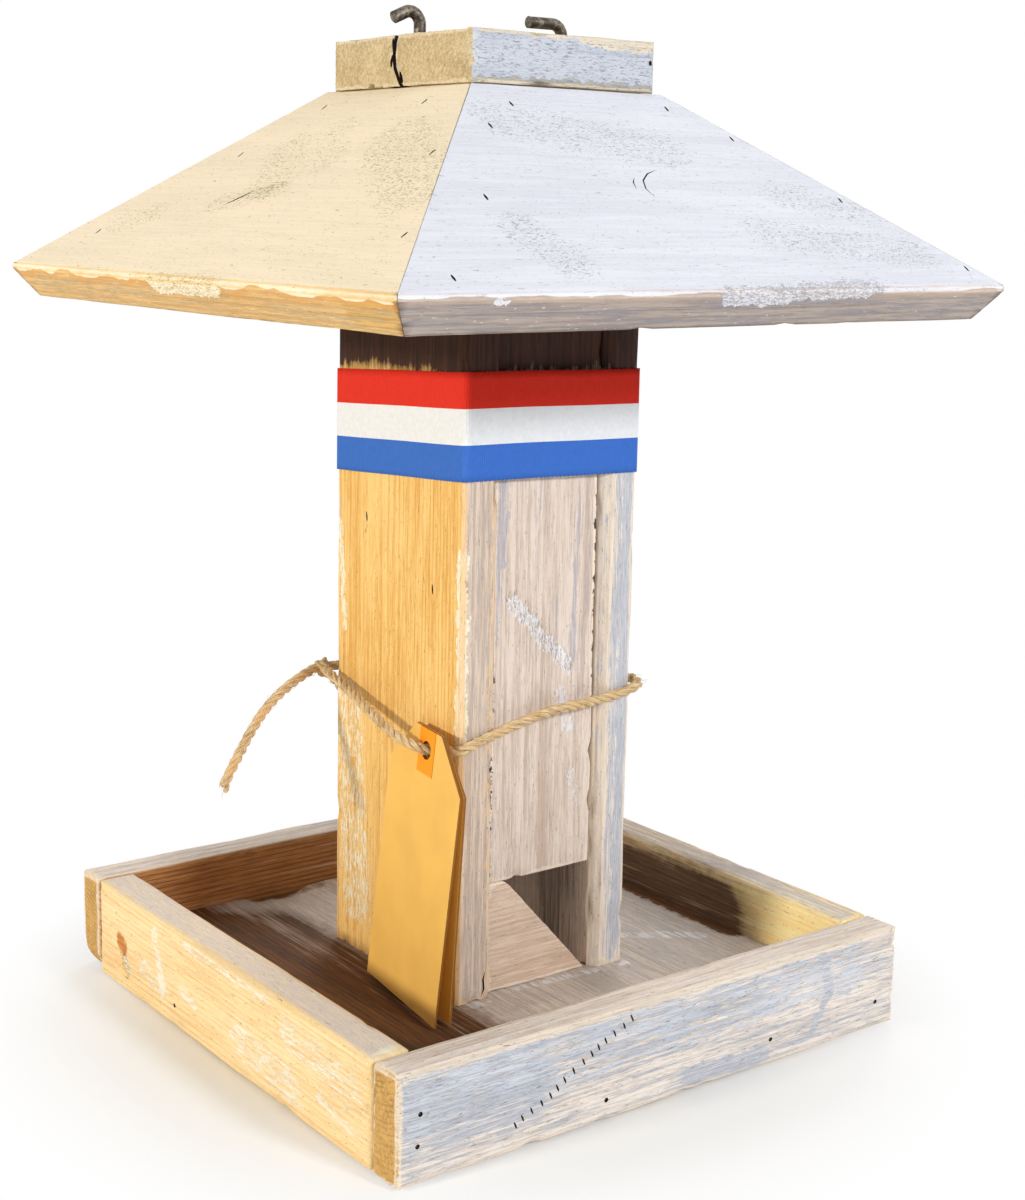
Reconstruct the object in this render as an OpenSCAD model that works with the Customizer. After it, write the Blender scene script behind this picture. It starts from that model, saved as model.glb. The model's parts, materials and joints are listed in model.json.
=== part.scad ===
// Hanging bird feeder of reclaimed boards: a railed seed tray, a square hopper
// standing in it, and a hipped roof with a cap block and two hanging hooks.
// Millimetres, +Z up. The origin is the middle of the tray's underside, with
// -Y at the front, where the wedge slopes down to the right.

/* [Tray] */
// Outside width of the tray, side to side
tray_w = 236; // [190:1:420]
// Outside depth of the tray, front to back
tray_d = 236; // [190:1:420]
// Height of the tray's rails
rail_h = 40; // [28:1:90]
// Thickness of the tray's rails
rail_t = 16; // [10:0.5:24]
// Thickness of the floor board held between the rails
floor_t = 18; // [10:0.5:22]
// Arris taken off each board by wear
arris = 1.2; // [0.4:0.1:2.5]
// Radius of the lost foot corner at the back rail's left end
lost_corner = 8; // [3:0.5:14]
// Depth of the notch in the front rail's right end
notch = 2.6; // [1:0.2:6]

/* [Hopper] */
// Outside width of the hopper, over its two side walls
hopper_w = 82; // [70:1:86]
// Outside depth of the hopper, front to back
hopper_d = 86; // [70:1:92]
// Height of a side wall's outer face above the floor board
hopper_h = 322; // [250:1:600]
// Thickness of the side walls
wall_t = 16; // [10:0.5:20]
// Thickness of the front and back panels
panel_t = 12; // [6:0.5:18]
// How far the panels sit back from the walls' edges
panel_recess = 3; // [0:0.5:6]
// Height of the seed outlets under the panels
outlet_h = 44; // [24:1:70]
// Slope of the seed wedge from level
wedge_slope = 48; // [30:1:60]
// Gap between the wedge's toe and the right wall
wedge_gap = 1.6; // [0.5:0.1:6]
// Drying gap between each panel and the right wall
panel_gap = 0.8; // [0.2:0.1:3]
// Wide worn arris down the inner front edge of the right wall
wall_wear = 3.5; // [1.5:0.1:6]

/* [Roof] */
// Width of the roof over its upper eave arrises
eave_w = 270; // [220:1:460]
// Width of the roof's flat top, side to side
roof_top_w = 87; // [84:1:110]
// Depth of the roof's flat top, front to back
roof_top_d = 93; // [84:1:116]
// Height from the eave's upper arris to the flat top
roof_rise = 68; // [45:1:120]
// Thickness of the roof boards
roof_t = 15; // [8:0.5:20]
// Worn arris along the eaves
eave_wear = 1.5; // [0.4:0.1:4]
// Step from the edge of the flat top in to the cap block
cap_step = 1; // [0:0.5:8]
// Height of the cap block
cap_h = 19; // [12:1:40]
// Corner radius of the cap block
cap_corner = 4; // [1:0.5:12]
// Width of the drying split in the cap block
split_w = 2.2; // [0.6:0.1:4]
// Distance of the drying split behind the block's middle
split_y = 1; // [-30:1:30]
// How far the split wanders on its way down
split_sway = 3.4; // [0:0.2:6]

/* [Hooks] */
// Diameter of the hook rods
rod_d = 4.5; // [3:0.1:7]
// Radius of the bend on the rod's centre line
bend_r = 4.5; // [3.6:0.1:7]
// Height of the hooks' highest point over the cap block
hook_rise = 10.5; // [8:0.1:30]
// Length of the left hook's arm past the bend
left_arm = 5.5; // [3:0.5:30]
// Length of the right hook's arm past the bend
right_arm = 11; // [3:0.5:30]
// Depth of the rods in the side walls
rod_depth = 34; // [15:1:80]
// Clearance between a rod and its holes
rod_fit = 0.15; // [0.05:0.05:0.5]

/* [Ribbon] */
// Width of the woven ribbon
ribbon_w = 39.2; // [10:0.2:60]
// Thickness of the ribbon
ribbon_t = 0.8; // [0.4:0.1:2]
// Height of the ribbon's lower edge above the floor board
ribbon_height = 197.4; // [150:0.2:220]
// Length of the ribbon's sewn lap at the back
ribbon_lap = 14; // [6:1:30]

/* [Tag] */
// Width of the card tag
tag_w = 56; // [30:1:60]
// Height of the card tag
tag_h = 105; // [60:1:106]
// Size of the corners cut off at the tag's top
tag_cut = 18; // [6:1:22]
// Thickness of each card leaf
card_t = 0.8; // [0.4:0.1:1.2]
// Diameter of the punched hole
tag_hole_d = 7; // [6:0.5:10]
// Distance from the tag's top edge to its hole
tag_hole_drop = 8; // [8:0.5:20]
// Width of the patch round the hole
patch_w = 12; // [11:0.5:19]
// Height of the patch round the hole
patch_h = 17; // [16:1:24]

/* [Twine] */
// Diameter of the jute twine
twine_d = 4; // [2:0.5:4]
// Diameter of the knot
knot_d = 10; // [8:0.5:11]

/* [Hidden] */

// Inside of the tray
bay_w = tray_w - 2 * rail_t;
bay_d = tray_d - 2 * rail_t;

// Inside of the hopper
hopper_bore = hopper_w - 2 * wall_t;
panel_face = hopper_d / 2 - panel_recess;
panel_back = panel_face - panel_t;
panel_foot = floor_t + outlet_h;

// The roof's four boards have one pitch, so their hips run at 45 degrees in plan
roof_run = (eave_w - roof_top_w) / 2;
eave_d = roof_top_d + 2 * roof_run;
pitch = atan(roof_rise / roof_run);
board_drop = roof_t / cos(pitch);
roof_top_z = floor_t + hopper_h + board_drop - (roof_top_w - hopper_w) / 2 * tan(pitch);
cap_top_z = roof_top_z + cap_h;
cap_w = roof_top_w - 2 * cap_step;
cap_d = roof_top_d - 2 * cap_step;

// The rods stand over the middle of the side walls
rod_x = (hopper_w - wall_t) / 2;
rod_foot_z = floor_t + hopper_h - rod_depth;
rod_hole_d = rod_d + 2 * rod_fit;
shaft_top_z = cap_top_z + hook_rise - rod_d / 2 - bend_r;

ribbon_z = floor_t + ribbon_height;
wedge_top_z = floor_t + (hopper_bore - wedge_gap) * tan(wedge_slope);

// The tag hangs on the twine at the left wall and leans out at its foot
tag_pin = [-hopper_w / 2 - 7.15, -32.4, 116.5];
leaf_gap = 1.4;

// How far cutters run past the face they cut
over = 1;

// The split as seen on the block's left face, from the bottom up
split_line = [[-split_sway, -over], [-split_sway, 0], [0.2 * split_sway, 0.35 * cap_h],
    [0.5 * split_sway, 0.6 * cap_h], [0, cap_h], [0, cap_h + over]];
big = 400;

// A rectangle about the origin with its corners cut at 45 degrees
function cut_rect(w, h, c) = [
    [-w / 2 + c, -h / 2], [w / 2 - c, -h / 2], [w / 2, -h / 2 + c], [w / 2, h / 2 - c],
    [w / 2 - c, h / 2], [-w / 2 + c, h / 2], [-w / 2, h / 2 - c], [-w / 2, -h / 2 + c]];

// A rectangle about the origin with round corners
function round_rect(w, h, r, steps = 6) = [
    for (q = [0:3]) for (i = [0:steps])
        let (a = 90 * q + 90 * i / steps, sx = (q == 0 || q == 3) ? 1 : -1, sy = q < 2 ? 1 : -1)
            [sx * (w / 2 - r) + r * cos(a), sy * (h / 2 - r) + r * sin(a)]];

// A sawn board about the origin with all its arrises worn
module worn_board(w, d, h, c = arris) {
    intersection() {
        linear_extrude(h, center = true) polygon(cut_rect(w, d, c));
        rotate([90, 0, 0]) linear_extrude(d, center = true) polygon(cut_rect(w, h, c));
        rotate([90, 0, 90]) linear_extrude(w, center = true) polygon(cut_rect(d, h, c));
    }
}

// ---- Tray ----

module tray_floor() {
    color("#a39a90")
        translate([-bay_w / 2, -bay_d / 2, 0]) cube([bay_w, bay_d, floor_t]);
}

// The front and back rails run the full width and cover the side rails' ends
module long_rail(side) {
    translate([0, side * (tray_d - rail_t) / 2, rail_h / 2]) worn_board(tray_w, rail_t, rail_h);
}

module short_rail(side) {
    translate([side * (tray_w - rail_t) / 2, 0, rail_h / 2])
        worn_board(rail_t, bay_d, rail_h);
}

// A notch worn into the rail's right end, below its top
module tray_front_rail() {
    color("#cfc6bf") difference() {
        long_rail(-1);
        translate([tray_w / 2, -tray_d / 2 + rail_t + over, rail_h - 7]) rotate([90, 0, 0])
            linear_extrude(rail_t + 2 * over)
                polygon([[-notch, 0], [over, -notch - over], [over, notch + over]]);
    }
}

// The foot corner at the rail's left end has been knocked round
module tray_back_rail() {
    color("#b9a890") difference() {
        long_rail(1);
        translate([-tray_w / 2, tray_d / 2 + over, 0]) rotate([90, 0, 0])
            linear_extrude(rail_t + 2 * over) difference() {
                translate([-over, -over]) square(lost_corner + over);
                translate([lost_corner, lost_corner]) circle(r = lost_corner, $fn = 48);
            }
    }
}

module tray_left_rail() { color("#e3bd6b") short_rail(-1); }
module tray_right_rail() { color("#c9ab78") short_rail(1); }

// ---- Hopper ----

module gable(ridge) {
    half = max(hopper_w, hopper_d);
    polygon([[-half, 0], [half, 0], [half, ridge - half * tan(pitch)], [0, ridge],
        [-half, ridge - half * tan(pitch)]]);
}

// Everything below the roof boards' undersides: what stands under the roof is
// cut to this, so that it bears on the boards over its whole thickness
module under_roof() {
    ridge_x = roof_top_z - board_drop + roof_top_w / 2 * tan(pitch);
    ridge_y = roof_top_z - board_drop + roof_top_d / 2 * tan(pitch);
    intersection() {
        rotate([90, 0, 0]) linear_extrude(2 * hopper_d, center = true) gable(ridge_x);
        rotate([90, 0, 90]) linear_extrude(2 * hopper_w, center = true) gable(ridge_y);
    }
}

// A side wall's plan: its inner front corner is worn back by w
function wall_plan(w) = [
    [arris, -hopper_d / 2], [wall_t - w, -hopper_d / 2], [wall_t, -hopper_d / 2 + w],
    [wall_t, hopper_d / 2 - arris], [wall_t - arris, hopper_d / 2], [arris, hopper_d / 2],
    [0, hopper_d / 2 - arris], [0, -hopper_d / 2 + arris]];

module side_wall(side, wear) {
    difference() {
        intersection() {
            translate([side * hopper_w / 2, 0, floor_t]) mirror([side > 0 ? 1 : 0, 0, 0])
                linear_extrude(hopper_h + roof_rise) polygon(wall_plan(wear));
            under_roof();
        }
        translate([side * rod_x, 0, rod_foot_z]) cylinder(h = big, d = rod_hole_d, $fn = 32);
    }
}

module hopper_left_wall() { color("#eebb66") side_wall(-1, arris); }
module hopper_right_wall() { color("#c3b6ab") side_wall(1, wall_wear); }

// A panel stands over the outlet and reaches the roof. It was cut to fit between
// the walls and has shrunk off the right one.
module panel(side) {
    intersection() {
        translate([-panel_gap / 2, side * (panel_face - panel_t / 2), panel_foot])
            linear_extrude(hopper_h + roof_rise)
                square([hopper_bore - panel_gap, panel_t], center = true);
        under_roof();
    }
}

module hopper_front_panel() { color("#d9c7b8") panel(-1); }
module hopper_back_panel() { color("#c9b49c") panel(1); }

// The wedge runs through the hopper's foot. Under the panels it stops at their
// lower edges, and between them it goes on up to the left wall.
module seed_wedge() {
    wall = -hopper_bore / 2;
    toe = hopper_bore / 2 - wedge_gap;
    head = toe - outlet_h / tan(wedge_slope);
    color("#c9ae98") rotate([90, 0, 0]) {
        linear_extrude(2 * panel_face, center = true)
            polygon([[wall, floor_t], [toe, floor_t], [head, panel_foot], [wall, panel_foot]]);
        linear_extrude(2 * panel_back, center = true)
            polygon([[wall, floor_t], [toe, floor_t], [wall, wedge_top_z]]);
    }
}

// ---- Roof ----

// Section through a board: out from the roof's middle, and up. The eave is
// sawn square to the board, and the top is level to carry the cap block.
function roof_section(top) = [
    [top + roof_run - eave_wear * cos(pitch), roof_top_z - roof_rise + eave_wear * sin(pitch)],
    [top, roof_top_z],
    [top - roof_t / sin(pitch), roof_top_z],
    [top + roof_run - roof_t * sin(pitch), roof_top_z - roof_rise - roof_t * cos(pitch)],
    [top + roof_run - eave_wear * sin(pitch), roof_top_z - roof_rise - eave_wear * cos(pitch)]];

// A board facing +X, mitred to its neighbours along both hips
module roof_board(top, side_top) {
    reach = top + roof_run + over;
    half = side_top + roof_run + over;
    hip = side_top - top;
    intersection() {
        rotate([90, 0, 0]) linear_extrude(2 * half, center = true) polygon(roof_section(top));
        linear_extrude(big + roof_top_z) polygon([[max(0, -hip), max(0, hip)],
            [reach, reach + hip], [reach, -reach - hip], [max(0, -hip), -max(0, hip)]]);
    }
}

module side_board(side) {
    difference() {
        rotate([0, 0, side > 0 ? 0 : 180]) roof_board(roof_top_w / 2, roof_top_d / 2);
        translate([side * rod_x, 0, 0]) cylinder(h = big + roof_top_z, d = rod_hole_d, $fn = 32);
    }
}

module roof_front_board() { color("#e3e2ea") rotate([0, 0, -90]) roof_board(roof_top_d / 2, roof_top_w / 2); }
module roof_back_board() { color("#d5cdc4") rotate([0, 0, 90]) roof_board(roof_top_d / 2, roof_top_w / 2); }
module roof_left_board() { color("#f3dcae") side_board(-1); }
module roof_right_board() { color("#dccdb6") side_board(1); }

module roof_cap() {
    color("#cdb27a") difference() {
        translate([0, 0, roof_top_z]) linear_extrude(cap_h)
            polygon(round_rect(cap_w, cap_d, cap_corner));
        for (s = [-1, 1])
            translate([s * rod_x, 0, roof_top_z - over])
                cylinder(h = cap_h + 2 * over, d = rod_hole_d, $fn = 32);
        // The split wanders down the left face and ends before it meets the rod
        translate([-cap_w / 2 - over, split_y, roof_top_z]) rotate([90, 0, 90])
            linear_extrude(cap_w / 2 - rod_x - rod_hole_d / 2)
                polygon([for (side = [-1, 1]) for (p = side < 0 ? split_line : [
                    for (i = [len(split_line) - 1:-1:0]) split_line[i]])
                        [p[0] + side * split_w / 2, p[1]]]);
    }
}

// ---- Hooks ----

// A dowel a hair thinner than the rod, which joins its straights to its bend
module rod_core() {
    cylinder(h = rod_d / 4, d = rod_d * 0.95, center = true, $fn = 32);
}

// A rod through cap and roof board into the wall, bent over above the cap. turn
// is the arm's direction in plan, and droop is how far it falls past level.
module hook(x, turn, droop, arm) {
    color("#3a342e") translate([x, 0, 0]) rotate([0, 0, turn]) {
        translate([0, 0, rod_foot_z]) cylinder(h = shaft_top_z - rod_foot_z, d = rod_d, $fn = 32);
        translate([0, 0, shaft_top_z]) rod_core();
        translate([bend_r, 0, shaft_top_z]) {
            rotate([90, 0, 0]) rotate([0, 0, 90 - droop])
                rotate_extrude(angle = 90 + droop, $fn = 48)
                    translate([bend_r, 0]) circle(d = rod_d, $fn = 32);
            rotate([0, droop, 0]) translate([0, 0, bend_r]) rotate([0, 90, 0]) {
                rod_core();
                cylinder(h = arm, d = rod_d, $fn = 32);
            }
        }
    }
}

module hook_left() { hook(-rod_x, 180, 24, left_arm); }
module hook_right() { hook(rod_x, 176, 0, right_arm); }

// ---- Ribbon ----

module ribbon() {
    color("#e9e2d8") translate([0, 0, ribbon_z]) {
        linear_extrude(ribbon_w) difference() {
            polygon(cut_rect(hopper_w + 2 * ribbon_t, hopper_d + 2 * ribbon_t, arris));
            polygon(cut_rect(hopper_w, hopper_d, arris));
        }
        translate([hopper_bore / 2 - ribbon_lap, hopper_d / 2 + ribbon_t, 0])
            cube([ribbon_lap, ribbon_t, ribbon_w]);
    }
}

// ---- Tag ----

function tag_outline() = [
    [-tag_w / 2 + tag_cut, tag_hole_drop], [tag_w / 2 - tag_cut, tag_hole_drop],
    [tag_w / 2, tag_hole_drop - tag_cut], [tag_w / 2, tag_hole_drop - tag_h],
    [-tag_w / 2, tag_hole_drop - tag_h], [-tag_w / 2, tag_hole_drop - tag_cut]];

// Places a card on the twine: leaf 0 is the front one, and leaf 1 behind it
// hangs closer to the wall
module on_twine(leaf) {
    lean = leaf == 0 ? -5.2 : -2.2;
    translate(tag_pin + [leaf * leaf_gap, 0, 0]) rotate([0, 0, -97]) rotate([lean, 0, 0])
        rotate([0, 1.7, 0]) rotate([90, 0, 0]) children();
}

module leaf() {
    difference() {
        linear_extrude(card_t, center = true) polygon(tag_outline());
        cylinder(h = 4 * card_t, d = tag_hole_d, center = true, $fn = 32);
    }
}

module tag_front_leaf() { color("#f9c65f") on_twine(0) leaf(); }
module tag_back_leaf() { color("#f2bb52") on_twine(1) leaf(); }

module tag_patch() {
    patch_t = card_t / 4;
    color("#ff9a00") on_twine(0) translate([0, 0, card_t / 2]) difference() {
        translate([-patch_w / 2, tag_hole_drop - patch_h, 0]) cube([patch_w, patch_h, patch_t]);
        cylinder(h = 4 * card_t, d = tag_hole_d, center = true, $fn = 32);
    }
}

// ---- Twine ----

// The knot sits off the hopper's back left corner
knot = [-43.5, 48.5, 131];

// Once round the hopper, from the knot through the tag's hole and back to it
loop_route = [
    [-44.8, 44.7, 131.1], [-46.2, 39, 130.4], [-46.4, 31, 128.8], [-47.6, 20, 126.6],
    [-49.6, 7, 124.2], [-51.5, -7, 121.5], [-53, -20, 119.6], [-51.6, -29.2, 118],
    [-48.2, -32.3, 116.6], [-45, -34.2, 116.4], [-43.9, -39, 117.1], [-42.8, -44.8, 118.2],
    [-38, -46, 119.9], [-22, -45.6, 123.6], [-3, -45.6, 127.4], [16, -45.6, 128.4],
    [33, -45.6, 129.8], [41, -45.9, 131.8], [44, -42.4, 132.8], [43.8, -32, 133.5],
    [43.7, 4, 134.2], [43.8, 34, 133.9], [43.8, 43, 133.7], [40, 46.2, 133.6],
    [30, 45.9, 133.4], [-6, 45.8, 132.4], [-26, 46, 131.8], [-39.7, 47.5, 131.1]];

// The long free end stands out to the left, and the short one hangs behind
tail_route = [
    [-47.5, 48.4, 130.8], [-55.5, 46.2, 128.8], [-62.5, 44.4, 126.2], [-69.5, 42.6, 122.6],
    [-76, 40.2, 118.6], [-84, 36, 112.8], [-92, 31, 106.4], [-98.5, 27.2, 100.4],
    [-104, 24, 94]];
short_route = [
    [-41.4, 51.5, 128.8], [-36, 53, 124.6], [-31.6, 52.6, 119], [-29.2, 51.6, 112.6],
    [-28.4, 50.6, 106]];

function unit(v) = v / norm(v);

// A point on the smooth curve through p, s counted in points along it
function along(p, s) =
    let (n = len(p), i = min(floor(s), n - 2), t = s - i,
         a = p[max(i - 1, 0)], b = p[i], c = p[i + 1], d = p[min(i + 2, n - 1)])
    0.5 * (2 * b + (c - a) * t + (2 * a - 5 * b + 4 * c - d) * t * t
        + (3 * b - a - 3 * c + d) * t * t * t);

function smooth(p, k) = [for (j = [0:(len(p) - 1) * k]) along(p, j / k)];

// A round tube swept along a route, its rings kept square to it
module tube(route, d, k, sides = 10) {
    line = smooth(route, k);
    last = len(line) - 1;
    rings = [for (i = [0:last])
        let (t = unit(line[min(i + 1, last)] - line[max(i - 1, 0)]),
             u = unit(cross(t, abs(t[2]) > 0.9 ? [1, 0, 0] : [0, 0, 1])), v = cross(u, t))
        for (j = [0:sides - 1])
            line[i] + d / 2 * (cos(360 * j / sides) * u + sin(360 * j / sides) * v)];
    polyhedron(rings, concat(
        [[for (j = [sides - 1:-1:0]) j]],
        [for (i = [0:last - 1]) for (j = [0:sides - 1])
            [i * sides + j, i * sides + (j + 1) % sides,
                (i + 1) * sides + (j + 1) % sides, (i + 1) * sides + j]],
        [[for (j = [0:sides - 1]) last * sides + j]]));
}

module twine_loop() { color("#c9a468") tube(loop_route, twine_d, 2); }
module twine_tail() { color("#c9a468") tube(tail_route, twine_d, 2); }
module twine_short_tail() { color("#c9a468") tube(short_route, twine_d, 2); }

module twine_knot() {
    color("#b9945a") difference() {
        translate(knot) sphere(d = knot_d, $fn = 24);
        twine_loop();
        twine_tail();
        twine_short_tail();
    }
}

tray_floor();
tray_front_rail();
tray_back_rail();
tray_left_rail();
tray_right_rail();
hopper_left_wall();
hopper_right_wall();
hopper_front_panel();
hopper_back_panel();
seed_wedge();
roof_front_board();
roof_back_board();
roof_left_board();
roof_right_board();
roof_cap();
hook_left();
hook_right();
ribbon();
tag_front_leaf();
tag_back_leaf();
tag_patch();
twine_loop();
twine_tail();
twine_short_tail();
twine_knot();
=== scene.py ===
# %% [markdown]
# # A hanging bird feeder of reclaimed boards
# The feeder is a railed tray, a square seed hopper of four upright boards and a
# hipped roof, all sawn from old painted planks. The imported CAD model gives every
# board's size and place, and this script gives the boards their age: worn
# arrises, raised grain, flaking paint, nails, a woven ribbon and a jute twine.

import json
import math

import bmesh
import bpy
from mathutils import Matrix, Quaternion, Vector, noise
from mathutils.bvhtree import BVHTree

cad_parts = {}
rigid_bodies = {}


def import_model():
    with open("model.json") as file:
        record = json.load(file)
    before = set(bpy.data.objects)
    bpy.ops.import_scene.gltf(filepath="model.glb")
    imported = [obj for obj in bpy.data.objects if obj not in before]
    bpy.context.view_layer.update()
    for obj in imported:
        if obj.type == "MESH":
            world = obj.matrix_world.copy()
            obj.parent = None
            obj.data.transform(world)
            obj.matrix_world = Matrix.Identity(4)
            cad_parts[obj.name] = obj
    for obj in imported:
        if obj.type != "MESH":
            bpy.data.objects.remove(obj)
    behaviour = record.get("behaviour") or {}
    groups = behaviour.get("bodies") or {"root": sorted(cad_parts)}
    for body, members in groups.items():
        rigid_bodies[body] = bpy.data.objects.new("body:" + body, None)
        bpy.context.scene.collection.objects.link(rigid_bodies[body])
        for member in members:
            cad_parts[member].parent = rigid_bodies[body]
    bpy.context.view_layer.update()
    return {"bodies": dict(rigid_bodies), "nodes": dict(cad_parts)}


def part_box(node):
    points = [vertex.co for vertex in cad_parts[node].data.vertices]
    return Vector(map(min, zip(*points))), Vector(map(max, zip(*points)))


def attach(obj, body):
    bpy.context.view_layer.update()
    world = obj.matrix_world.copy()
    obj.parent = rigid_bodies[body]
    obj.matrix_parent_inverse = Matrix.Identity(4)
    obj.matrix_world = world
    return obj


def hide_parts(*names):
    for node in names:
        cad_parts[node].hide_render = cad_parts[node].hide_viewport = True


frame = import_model()
scene = bpy.context.scene
MM = 0.001
PI = math.pi
BODY = next(iter(frame["bodies"]))
print("Loaded", len(frame["nodes"]), "nodes on body", BODY)

# %% [markdown]
# ## Camera
# A camera in Blender looks down its own -Z axis. Here it stands to the left of
# the feeder's front, a little above the tray, and rolls by one degree. It is made
# first, because cords are measured against what the camera sees.

# %% Camera
AZIMUTH = math.radians(-36.6)
ELEVATION = math.radians(9.83)
ROLL = math.radians(1.0)
DISTANCE = 0.748
TARGET = Vector((0, 0, 0.1867))

camera = bpy.data.objects.new("camera", bpy.data.cameras.new("camera"))
scene.collection.objects.link(camera)
scene.camera = camera
camera.data.sensor_width = 36
camera.data.lens = 57.33
camera.data.shift_x = 0.024
camera.data.shift_y = -0.051
back = Vector((math.sin(AZIMUTH) * math.cos(ELEVATION),
               -math.cos(AZIMUTH) * math.cos(ELEVATION), math.sin(ELEVATION)))
camera.location = TARGET + DISTANCE * back
camera.rotation_mode = "QUATERNION"
camera.rotation_quaternion = (-back).to_track_quat("-Z", "Y") @ Quaternion((0, 0, 1), ROLL)
print("Camera at", [round(x, 3) for x in camera.location])

# %% [markdown]
# ## Helpers for meshes and materials
# Colours are written as sRGB hex and turned to linear light once. One function
# adds a shader node with its settings and links, so that a material reads as a
# list of steps. The steps that finishes share, a weighted sum, a coat of colour
# and the surface with its relief, are each built from several such nodes. The
# last helper keeps a finished bmesh as a piece that rides on the body.

# %% Small helpers
ALL = slice(None)
SMOOTH = dict(interpolation_type="SMOOTHSTEP")
COLOURS = dict(data_type="RGBA")


def linear(hex_colour):
    """A colour written as sRGB hex, as the linear RGBA that shaders read."""
    parts = [int(hex_colour[i:i + 2], 16) / 255 for i in (1, 3, 5)]
    return [c / 12.92 if c <= 0.04045 else ((c + 0.055) / 1.055) ** 2.4 for c in parts] + [1]


def add(tree, kind, inputs=(), out=0, **settings):
    """Adds a shader node and returns its output number out, or the output of that name.

    inputs fills the node's sockets in order, or by name if it is a dict. A value
    that is itself an output is linked."""
    made = tree.nodes.new("ShaderNode" + kind)
    for key, value in settings.items():
        setattr(made, key, value)
    sockets = [s for s in made.inputs if s.enabled]
    by_name = {s.name: s for s in reversed(sockets)}
    pairs = ([(by_name[key], value) for key, value in inputs.items()]
             if isinstance(inputs, dict) else zip(sockets, inputs))
    for socket, value in pairs:
        if isinstance(value, bpy.types.NodeSocket):
            tree.links.new(value, socket)
        else:
            socket.default_value = value
    if isinstance(out, str):
        return made.outputs[out]
    shown = [s for s in made.outputs if s.enabled]
    return shown[out] if shown else None


def new_material(name):
    """An empty node material, and its tree."""
    made = bpy.data.materials.new(name)
    made.use_nodes = True
    made.node_tree.nodes.clear()
    return made, made.node_tree


def total(tree, base, *terms):
    """base plus each term: a value times a weight, or what it has over a third number."""
    for value, weight, *middle in terms:
        if middle:
            value = add(tree, "Math", (value, *middle), operation="SUBTRACT")
        base = add(tree, "Math", (value, weight, base), operation="MULTIPLY_ADD")
    return base


def coat(tree, base, colour, value, low, high, most=1.0):
    """Lays colour over base where value goes from low to high, up to a share of most."""
    cover = add(tree, "MapRange", (value, low, high, 0.0, most), **SMOOTH)
    return add(tree, "Mix", (cover, base, colour), **COLOURS)


def surface(tree, colour, rough, height, strength, lift, **others):
    """Ends a material: a relief of lift mm, the surface itself and the output."""
    relief = add(tree, "Bump", {"Height": height, "Strength": strength, "Distance": lift * MM})
    settings = {key.replace("_", " "): value for key, value in others.items()}
    shader = add(tree, "BsdfPrincipled", {"Base Color": colour, "Roughness": rough,
                                          "Normal": relief, **settings})
    add(tree, "OutputMaterial", (shader,))


def keep_piece(name, shape, *materials):
    """Turns a finished bmesh into a piece that rides on the feeder."""
    mesh = bpy.data.meshes.new(name)
    shape.to_mesh(mesh)
    shape.free()
    mesh.polygons.foreach_set("use_smooth", [True] * len(mesh.polygons))
    for material in materials:
        mesh.materials.append(material)
    piece = bpy.data.objects.new(name, mesh)
    scene.collection.objects.link(piece)
    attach(piece, BODY)
    return piece

# %% [markdown]
# ## Jute twine
# The twine is one piece of three-ply jute, knotted at the hopper's back left
# corner. It could be a single round tube, but three strands wound round the same
# route show the lay of the rope, so each strand is a helix about the route. The
# route's points are the ones that the CAD model's plain tube follows.

# %% Twine route
TWINE_D = 4 * MM
SHORT_END = [(-28.4, 50.6, 106), (-29.2, 51.6, 112.6), (-31.6, 52.6, 119), (-36, 53, 124.6),
             (-41.4, 51.5, 128.8)]
KNOT = (-43.5, 48.5, 131)
LOOP = [(-44.8, 44.7, 131.1), (-46.2, 39, 130.4), (-46.4, 31, 128.8), (-47.6, 20, 126.6),
        (-49.6, 7, 124.2), (-51.5, -7, 121.5), (-53, -20, 119.6), (-51.6, -29.2, 118),
        (-48.2, -32.3, 116.6), (-45, -34.2, 116.4), (-43.9, -39, 117.1), (-42.8, -44.8, 118.2),
        (-38, -46, 119.9), (-22, -45.6, 123.6), (-3, -45.6, 127.4), (16, -45.6, 128.4),
        (33, -45.6, 129.8), (41, -45.9, 131.8), (44, -42.4, 132.8), (43.8, -32, 133.5),
        (43.7, 4, 134.2), (43.8, 34, 133.9), (43.8, 43, 133.7), (40, 46.2, 133.6),
        (30, 45.9, 133.4), (-6, 45.8, 132.4), (-26, 46, 131.8), (-39.7, 47.5, 131.1)]
TAIL = [(-47.5, 48.4, 130.8), (-55.5, 46.2, 128.8), (-62.5, 44.4, 126.2), (-69.5, 42.6, 122.6),
        (-76, 40.2, 118.6), (-84, 36, 112.8), (-92, 31, 106.4), (-98.5, 27.2, 100.4),
        (-104, 24, 94)]
ROUTE = [Vector(p) * MM for p in SHORT_END + [KNOT] + LOOP + [KNOT] + TAIL]


def smooth_line(points, step):
    """A Catmull-Rom curve through the points, with a point about every step."""
    line = []
    for i in range(len(points) - 1):
        a, b, c, d = (points[max(i - 1, 0)], points[i], points[i + 1],
                      points[min(i + 2, len(points) - 1)])
        count = max(1, round((c - b).length / step))
        for k in range(count):
            t = k / count
            line.append(0.5 * (2 * b + (c - a) * t + (2 * a - 5 * b + 4 * c - d) * t * t
                               + (3 * b - a - 3 * c + d) * t ** 3))
    return line + [points[-1]]


def length_of(line):
    """The length of a line of points."""
    return sum((q - p).length for p, q in zip(line, line[1:]))


twine_line = smooth_line(ROUTE, 1.3 * MM)
twine_length = length_of(twine_line)
print("Twine", round(twine_length, 3), "m long,", len(twine_line), "points")

# %% [markdown]
# A strand needs a frame that turns with the route without flipping, so each
# step carries the last sideways direction along and squares it to the new
# tangent. The strand's place in that frame then turns once per lay length. At a
# cut end the plies open and stop at slightly different lengths, as jute does.

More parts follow.
